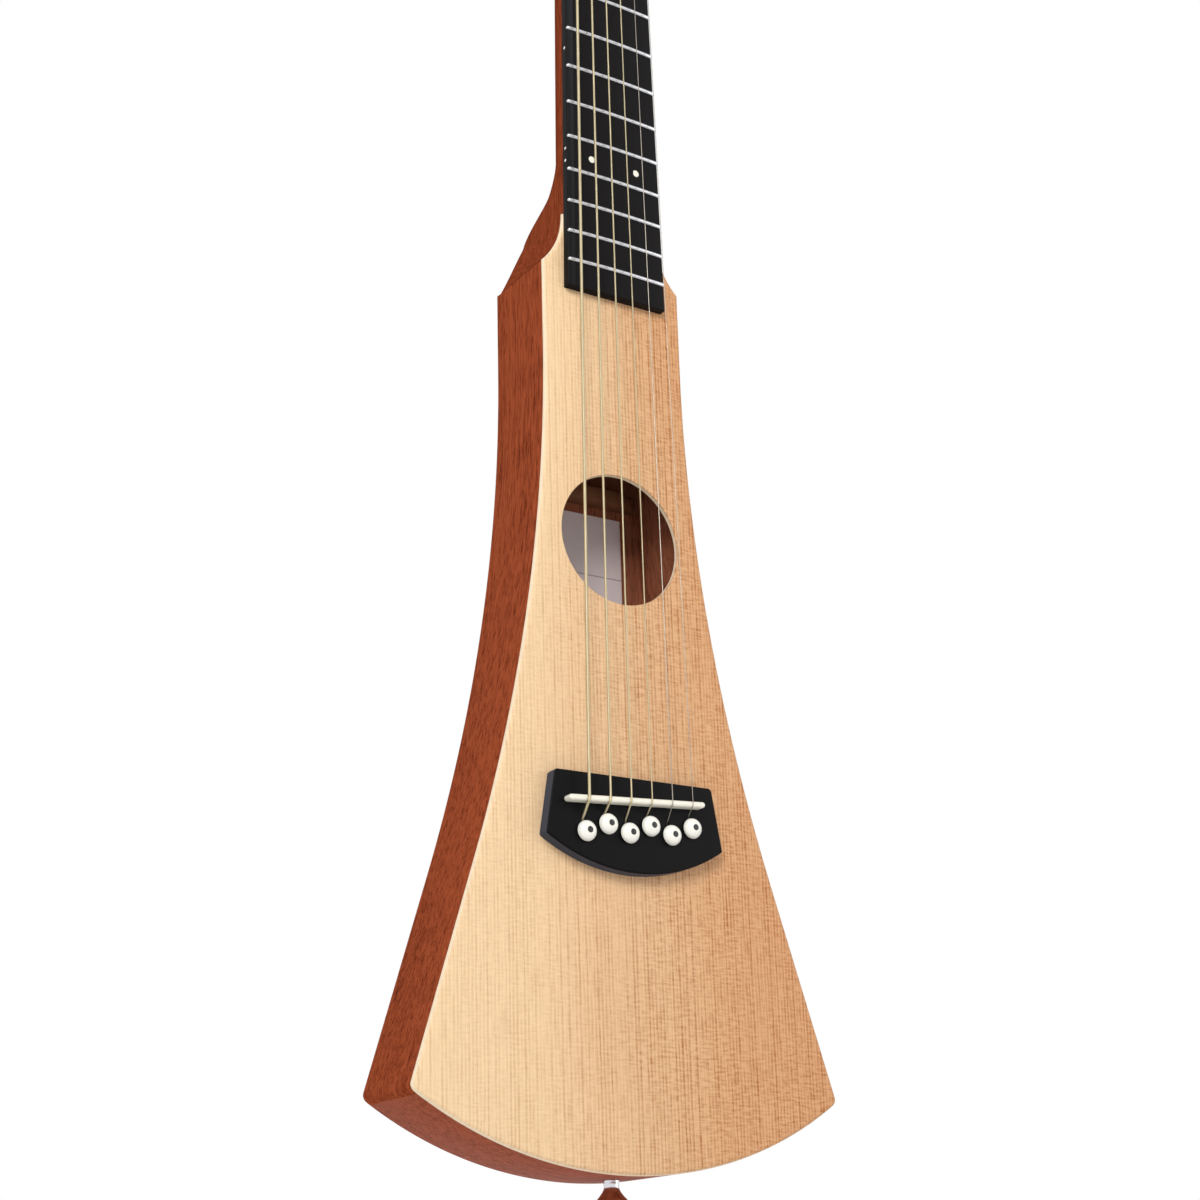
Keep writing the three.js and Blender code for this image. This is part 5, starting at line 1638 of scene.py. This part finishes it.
def make_posts(finish):
    """Tuner posts with their gears, and the turns of string on them."""
    half = GEAR_THICKNESS / 2
    reach = POST_RADIUS + OVERRUN
    for i in STRINGS:
        number, kind = string_number(i), string_kind(i)
        body, matrix = f"post_{number}", post_frame(i)
        post = solid(f"tuner_post_{number}_turned", add_turned, post_profile(), sizes().round_segments,
                     matrix)
        hole = matrix @ Matrix.Translation((0, 0, -STRING_HOLE_HEIGHT)) @ Matrix.Rotation(math.pi / 2, 4, "Y")
        carve(post, solid("drill", add_rod, STRING_HOLE_RADIUS, -reach, reach, 20, hole))
        wheel = solid("wheel", add_plate, gear_outline(), WORM_DEPTH - half, WORM_DEPTH + half, GEAR_EDGE,
                      GEAR_EDGE, space=gear_space(i))
        carve(post, wheel, "UNION")
        soften(post, 32)
        dress(post, finish["machine_steel"], "machine_steel", body, [f"tuner_post_{number}"])
        turns = solid(f"string_{number}_turns", add_tube, winding(i), STRING_RADII[i], 10, matrix)
        dress(turns, finish[kind], kind, body)


def add_worm(mesh, matrix):
    """The thread of a worm round the X axis, with eased edges along its crest."""
    base, crest, top = WORM_BASE / 2, WORM_CREST / 2, WORM_RADIUS - WORM_CREST_ROUND
    half = [(SHAFT_RADIUS, base), (top, crest + WORM_CREST_WIDER), (WORM_RADIUS, crest - WORM_CREST_NARROWER)]
    corners = [(radius, -x) for radius, x in half] + half[::-1]
    rings = []
    for s in shares(math.ceil(WORM_TURNS * 32)):
        turn = WORM_TURNS * (s - 0.5)
        angle = 2 * math.pi * turn - math.pi
        rings.append([matrix @ Vector((WORM_PITCH * turn + x, r * math.sin(angle), r * math.cos(angle)))
                      for r, x in corners])
    add_loft(mesh, rings)


def make_knobs(finish):
    """Tuner knobs: a shaft, the worm on it and an oval button."""
    half = WORM_TURNS / 2 * WORM_PITCH + WORM_BASE / 2
    end = BUTTON_FROM_POST + BUTTON_LENGTH / 2
    start, edge = SHAFT_START, SHAFT_END_BREAK
    profile = [(0, start), (SHAFT_RADIUS - edge, start), (SHAFT_RADIUS, start + edge), (SHAFT_RADIUS, -half),
               (WORM_ROOT_RADIUS, -half), (WORM_ROOT_RADIUS, half), (SHAFT_RADIUS, half), (SHAFT_RADIUS, end),
               (0, end)]
    crown = [tuple(p) for p in curve_through(BUTTON_SHARES, 5)][:-1] + [(0, 1)]
    outline = [(max(r, 0) * BUTTON_HALF_HEIGHT, BUTTON_FROM_POST + up * BUTTON_LENGTH) for r, up in crown]
    for i in STRINGS:
        number = string_number(i)
        along = worm_frame(i) @ Matrix.Rotation(post_side(i) * math.pi / 2, 4, "Y")
        knob = solid(f"tuner_knob_{number}_turned", add_turned, profile, 36, along)
        flat = along @ Matrix.Diagonal((1, BUTTON_THICKNESS_SHARE, 1, 1))
        button = solid("button", add_turned, [(0, BUTTON_FROM_POST)] + outline, sizes().round_segments, flat)
        carve(knob, button, "UNION")
        carve(knob, solid("thread", add_worm, worm_frame(i)), "UNION")
        soften(knob, 35)
        dress(knob, finish["chrome"], "chrome", f"knob_{number}", [f"tuner_knob_{number}"])


def ear_outline():
    """A shaft's round ear on a foot that is sunk into the plate, as rises and depths."""
    ear = [(EAR_RADIUS * math.cos(a), WORM_DEPTH + EAR_RADIUS * math.sin(a)) for a in angles(math.pi, 18)]
    foot_half, foot = EAR_RADIUS + EAR_FOOT_SPREAD, PLATE_DEPTH - PLATE_THICKNESS * EAR_FOOT_SHARE
    return ear + [(-foot_half, foot), (foot_half, foot)]


def ear_space(x, rise):
    """Places an ear's outline, which is seen along its shaft, in the head's frame."""
    return lambda u, depth, v: HEAD_FRAME @ Vector((x + depth, v, rise + u))


def make_tuner_plates(finish):
    """A plate down each side of the head's back, with two ears for each knob's shaft."""
    for side, name in ((-1, "tuner_plate_bass"), (1, "tuner_plate_treble")):
        rises = [post_rise(i) for i in STRINGS if post_side(i) == side]
        centre, half = side * POST_FROM_CENTRE, PLATE_HALF_WIDTH
        top, bottom = max(rises) + GEAR_RADIUS + PLATE_MARGIN, min(rises) - WORM_FROM_POST - PLATE_MARGIN
        corners = [(centre - half, -top), (centre + half, -top), (centre + half, -bottom),
                   (centre - half, -bottom)]
        holes = [circle(centre, -rise, POST_RADIUS + PLATE_HOLE_GAP, 40) for rise in rises]
        plate = solid(f"{name}_pressed", add_plate, rounded(corners, [PLATE_CORNER] * 4),
                      PLATE_DEPTH - PLATE_THICKNESS, PLATE_DEPTH, 0, PLATE_EDGE, holes, head_point)
        hole = circle(0, WORM_DEPTH, SHAFT_RADIUS + EAR_HOLE_GAP, 28)
        half = EAR_THICKNESS / 2
        for rise in rises:
            for end in (-1, 1):
                space = ear_space(centre + end * EAR_FROM_POST, rise - WORM_FROM_POST)
                ear = solid("ear", add_plate, ear_outline(), -half, half, PLATE_EDGE, PLATE_EDGE, [hole],
                            space)
                carve(plate, ear, "UNION")
        soften(plate, 35)
        dress(plate, finish["machine_steel"], "machine_steel", replaces=[name])


def screw_pattern():
    """A slotted screw's domed head, along +Z."""
    radius = sizes().screw_radius
    height = radius * SCREW_HEIGHT_SHARE
    wall = height * SCREW_WALL_SHARE
    dome = [(radius * math.cos(a), wall + (height - wall) * math.sin(a))
            for a in angles(math.pi / 2, 6)[1:-1]]
    profile = [(0, SCREW_FOOT), (radius, SCREW_FOOT), (radius, 0), (radius, wall)] + dome + [(0, height)]
    reach, half, floor = radius + OVERRUN, radius * SCREW_SLOT_SHARE, height * SCREW_SLOT_FLOOR_SHARE
    screw = solid("screw_pattern", add_turned, profile, 32)
    return carve(screw, solid("slot", add_box, (-reach, -half, floor), (reach, half, height + OVERRUN)))


def bushing_pattern():
    """A flanged ring round a post, along +Z."""
    inner, outer, height, edge = POST_RADIUS + BUSHING_GAP, BUSHING_RADIUS, BUSHING_HEIGHT, BUSHING_EDGE
    neck = outer - BUSHING_FLANGE
    flange = [(neck, BUSHING_FOOT), (neck, 0), (outer, 0)]
    flange += [(outer - edge * inset, height - edge * drop) for inset, drop in BUSHING_EDGE_SHARES]
    profile = [(inner, BUSHING_FOOT), *flange, (inner + edge, height), (inner, height - edge)]
    return solid("bushing_pattern", add_turned, profile, sizes().round_segments)


def make_screws(finish):
    """Screws that hold the tuner plates, and the bushings round the posts on the head's face."""
    screw_points = [head_point(side * POST_FROM_CENTRE, PLATE_DEPTH, -rise) for side in (-1, 1)
                    for rise in SCREW_RISES]
    post_points = [head_point(post_side(i) * POST_FROM_CENTRE, 0, -post_rise(i)) for i in STRINGS]
    for name, points, pattern, turn, metal in (
            ("tuner_screws", screw_points, screw_pattern(), (-math.pi / 2 - HEAD_TILT, 0, SCREW_TURN),
             "machine_steel"),
            ("post_bushings", post_points, bushing_pattern(), (math.pi / 2 - HEAD_TILT, 0, 0), "chrome")):
        dress(scattered(name, points, pattern, turn, finish[metal]), None, metal)


def make_strap_pin(name, shank, length, shares_of_head, radius, head_length, matrix, node, finish):
    """A shank behind a turned head, with a smooth profile."""
    head = [(r * radius, STRAP_PIN_GAP + up * head_length) for r, up in shares_of_head]
    crown = [tuple(p) for p in curve_through(head, 5)]
    profile = [(0, -length), (shank, -length), (shank, crown[0][1])] + crown + [(0, crown[-1][1])]
    pin = solid(name, add_turned, profile, sizes().round_segments, matrix)
    dress(pin, finish["chrome"], "chrome", replaces=[node])


def make_end_pin(finish):
    make_strap_pin("end_pin_turned", END_PIN_SHANK_RADIUS, END_PIN_SHANK_LENGTH, END_PIN_SHARES,
                   END_PIN_RADIUS, END_PIN_HEAD_LENGTH, end_pin_frame(), "end_pin", finish)


def make_heel_button(finish):
    make_strap_pin("heel_button_turned", HEEL_BUTTON_SHANK_RADIUS, HEEL_BUTTON_SHANK_LENGTH,
                   HEEL_BUTTON_SHARES, HEEL_BUTTON_RADIUS, HEEL_BUTTON_HEAD_LENGTH, heel_button_frame(),
                   "heel_strap_button", finish)


def make_camera():
    data = bpy.data.cameras.new("studio_camera")
    data.lens = CAMERA_LENS
    data.sensor_width = CAMERA_SENSOR
    data.shift_x, data.shift_y = CAMERA_SHIFT
    forward = (CAMERA_AIM - CAMERA_EYE).normalized()
    level = forward.cross(Vector((0, 0, 1))).normalized()
    rise = level.cross(forward)
    right = level * math.cos(CAMERA_ROLL) - rise * math.sin(CAMERA_ROLL)
    up = rise * math.cos(CAMERA_ROLL) + level * math.sin(CAMERA_ROLL)
    turn = Matrix((right, up, -forward)).transposed().to_4x4()
    camera = placed("studio_camera", data)
    camera.matrix_world = Matrix.Translation(CAMERA_EYE) @ turn
    bpy.context.scene.camera = camera


def make_lamp(name, location, size, power):
    data = bpy.data.lights.new(name, "AREA")
    data.shape = "RECTANGLE"
    data.size, data.size_y = size
    data.energy = power
    lamp = placed(name, data)
    lamp.location = location
    lamp.rotation_euler = (Vector(LIT_MIDDLE) - Vector(location)).to_track_quat("-Z", "Y").to_euler()


def make_world():
    """A white surround for the camera and for reflections, with a soft light of its own."""
    world = bpy.data.worlds.new("studio")
    start = empty_tree(world)
    ambient = start.node("ShaderNodeBackground", inputs={"Color": WHITE, "Strength": AMBIENT_LIGHT})
    white = start.node("ShaderNodeBackground", inputs={"Color": WHITE, "Strength": 1.0})
    seen = ray_kind(start, "Camera", "Glossy", "Transmission")
    surround = start.node("ShaderNodeMixShader", inputs={0: seen, 1: ambient, 2: white})
    start.node("ShaderNodeOutputWorld", inputs={"Surface": surround})
    bpy.context.scene.world = world


def floor_material():
    """Matt paint that takes the shadow, lifted towards white where the camera sees it."""
    made = bpy.data.materials.new("floor_paint")
    start = empty_tree(made)
    mottle = start.node("ShaderNodeTexCoord", output="Object").stretched(2, 2, 2).noise(1)
    colour = mottle.mixed(opaque(colours().floor), opaque(colours().floor, 0.98))
    paint = {"Base Color": colour, "Roughness": 0.7}
    matt = start.node("ShaderNodeBsdfPrincipled", inputs=paint, output="BSDF")
    white = start.node("ShaderNodeEmission", inputs={"Color": WHITE, "Strength": 1.0})
    lift = ray_kind(start, "Camera") * FLOOR_LIFT_SHARE
    surface = start.node("ShaderNodeMixShader", inputs={0: lift, 1: matt, 2: white})
    start.node("ShaderNodeOutputMaterial", inputs={"Surface": surface})
    return made


def make_stage():
    """The floor, the lamps, the surround and the camera."""
    bpy.context.scene.view_settings.view_transform = "Standard"
    make_camera()
    make_world()
    mesh = bmesh.new()
    half, floor_z = FLOOR_HALF_WIDTH, lowest("end_pin").z - FLOOR_BELOW_PIN
    corners = [(-half, -half, floor_z), (half, -half, floor_z), (half, half, floor_z), (-half, half, floor_z)]
    mesh.faces.new([mesh.verts.new(corner) for corner in corners])
    floor = piece_from(mesh, "studio_floor")
    floor.data.materials.append(floor_material())
    for name, lamp in LAMPS.items():
        make_lamp(name, *lamp)


def finishes():
    """The guitar's materials by their short names."""
    ending = "_finish"
    return {name[:-len(ending)]: made for name, made in bpy.data.materials.items() if name.endswith(ending)}


class GUITAR_OT_finishes(bpy.types.Operator):
    """Makes the woods, metals, plastics and paper"""
    bl_idname = "guitar.finishes"
    bl_label = "Finishes"

    def execute(self, context):
        make_materials()
        return {"FINISHED"}


class GUITAR_OT_soundboard(bpy.types.Operator):
    """Makes the soundboard with its sound hole and rounded edge"""
    bl_idname = "guitar.soundboard"
    bl_label = "Soundboard"

    def execute(self, context):
        make_soundboard(finishes())
        return {"FINISHED"}


class GUITAR_OT_walls(bpy.types.Operator):
    """Makes the two sides and the rim at the tail"""
    bl_idname = "guitar.walls"
    bl_label = "Sides and tail rim"

    def execute(self, context):
        for sign, name in ((-1, "left_side"), (1, "right_side")):
            make_side(sign, name, finishes())
        make_tail_rim(finishes())
        return {"FINISHED"}


class GUITAR_OT_back(bpy.types.Operator):
    """Makes the back with its rounded edge"""
    bl_idname = "guitar.back"
    bl_label = "Back"

    def execute(self, context):
        make_back(finishes())
        return {"FINISHED"}


class GUITAR_OT_inside(bpy.types.Operator):
    """Makes the blocks, braces, bridge plate and label inside the body"""
    bl_idname = "guitar.inside"
    bl_label = "Inside of the body"

    def execute(self, context):
        make_inside(finishes())
        return {"FINISHED"}


class GUITAR_OT_neck(bpy.types.Operator):
    """Makes the neck with its heel, head and block"""
    bl_idname = "guitar.neck"
    bl_label = "Neck"

    def execute(self, context):
        make_neck(finishes())
        return {"FINISHED"}


class GUITAR_OT_fingerboard(bpy.types.Operator):
    """Makes the arched fingerboard with its frets and position dots"""
    bl_idname = "guitar.fingerboard"
    bl_label = "Fingerboard"

    def execute(self, context):
        make_fingerboard(finishes())
        make_frets(finishes())
        make_dots(finishes())
        return {"FINISHED"}


class GUITAR_OT_nut(bpy.types.Operator):
    """Makes the nut with a slot for each string"""
    bl_idname = "guitar.nut"
    bl_label = "Nut"

    def execute(self, context):
        make_nut(finishes())
        return {"FINISHED"}


class GUITAR_OT_bridge(bpy.types.Operator):
    """Makes the bridge and its saddle"""
    bl_idname = "guitar.bridge"
    bl_label = "Bridge and saddle"

    def execute(self, context):
        make_bridge(finishes())
        make_saddle(finishes())
        return {"FINISHED"}


class GUITAR_OT_pins(bpy.types.Operator):
    """Makes the six bridge pins with their dots"""
    bl_idname = "guitar.pins"
    bl_label = "Bridge pins"

    def execute(self, context):
        make_pins(finishes())
        return {"FINISHED"}


class GUITAR_OT_strings(bpy.types.Operator):
    """Makes the six strings from their posts to their ball ends"""
    bl_idname = "guitar.strings"
    bl_label = "Strings"

    def execute(self, context):
        make_strings(finishes())
        return {"FINISHED"}


class GUITAR_OT_tuners(bpy.types.Operator):
    """Makes the tuners: plates, screws, bushings, posts and knobs"""
    bl_idname = "guitar.tuners"
    bl_label = "Tuners"

    def execute(self, context):
        make_tuner_plates(finishes())
        make_screws(finishes())
        make_posts(finishes())
        make_knobs(finishes())
        return {"FINISHED"}


class GUITAR_OT_strap_pins(bpy.types.Operator):
    """Makes the end pin and the strap button on the heel"""
    bl_idname = "guitar.strap_pins"
    bl_label = "Strap pins"

    def execute(self, context):
        make_end_pin(finishes())
        make_heel_button(finishes())
        return {"FINISHED"}


class GUITAR_OT_stage(bpy.types.Operator):
    """Makes the floor, the lamps, the surround and the camera"""
    bl_idname = "guitar.stage"
    bl_label = "Stage"

    def execute(self, context):
        make_stage()
        return {"FINISHED"}


OPERATORS = (
    GUITAR_OT_finishes, GUITAR_OT_soundboard, GUITAR_OT_walls, GUITAR_OT_back, GUITAR_OT_inside,
    GUITAR_OT_neck, GUITAR_OT_fingerboard, GUITAR_OT_nut, GUITAR_OT_bridge, GUITAR_OT_pins,
    GUITAR_OT_strings, GUITAR_OT_tuners, GUITAR_OT_strap_pins, GUITAR_OT_stage,
)


class GUITAR_PT_maker(bpy.types.Panel):
    """The guitar's sizes, finishes and pieces"""
    bl_idname = "GUITAR_PT_maker"
    bl_label = "Travel guitar"
    bl_space_type = "VIEW_3D"
    bl_region_type = "UI"
    bl_category = "Travel guitar"

    def draw(self, context):
        for group in (context.scene.guitar_sizes, context.scene.guitar_finishes):
            box = self.layout.box()
            for name in type(group).__annotations__:
                box.prop(group, name)
        for operator in OPERATORS:
            self.layout.operator(operator.bl_idname)


CLASSES = (GuitarSizes, GuitarFinishes, *OPERATORS, GUITAR_PT_maker)


def register():
    for cls in CLASSES:
        bpy.utils.register_class(cls)
    bpy.types.Scene.guitar_sizes = PointerProperty(type=GuitarSizes)
    bpy.types.Scene.guitar_finishes = PointerProperty(type=GuitarFinishes)


def unregister():
    del bpy.types.Scene.guitar_finishes
    del bpy.types.Scene.guitar_sizes
    for cls in reversed(CLASSES):
        bpy.utils.unregister_class(cls)


def main():
    register()
    for operator in OPERATORS:
        group, name = operator.bl_idname.split(".")
        getattr(getattr(bpy.ops, group), name)()


if __name__ == "__main__":
    main()
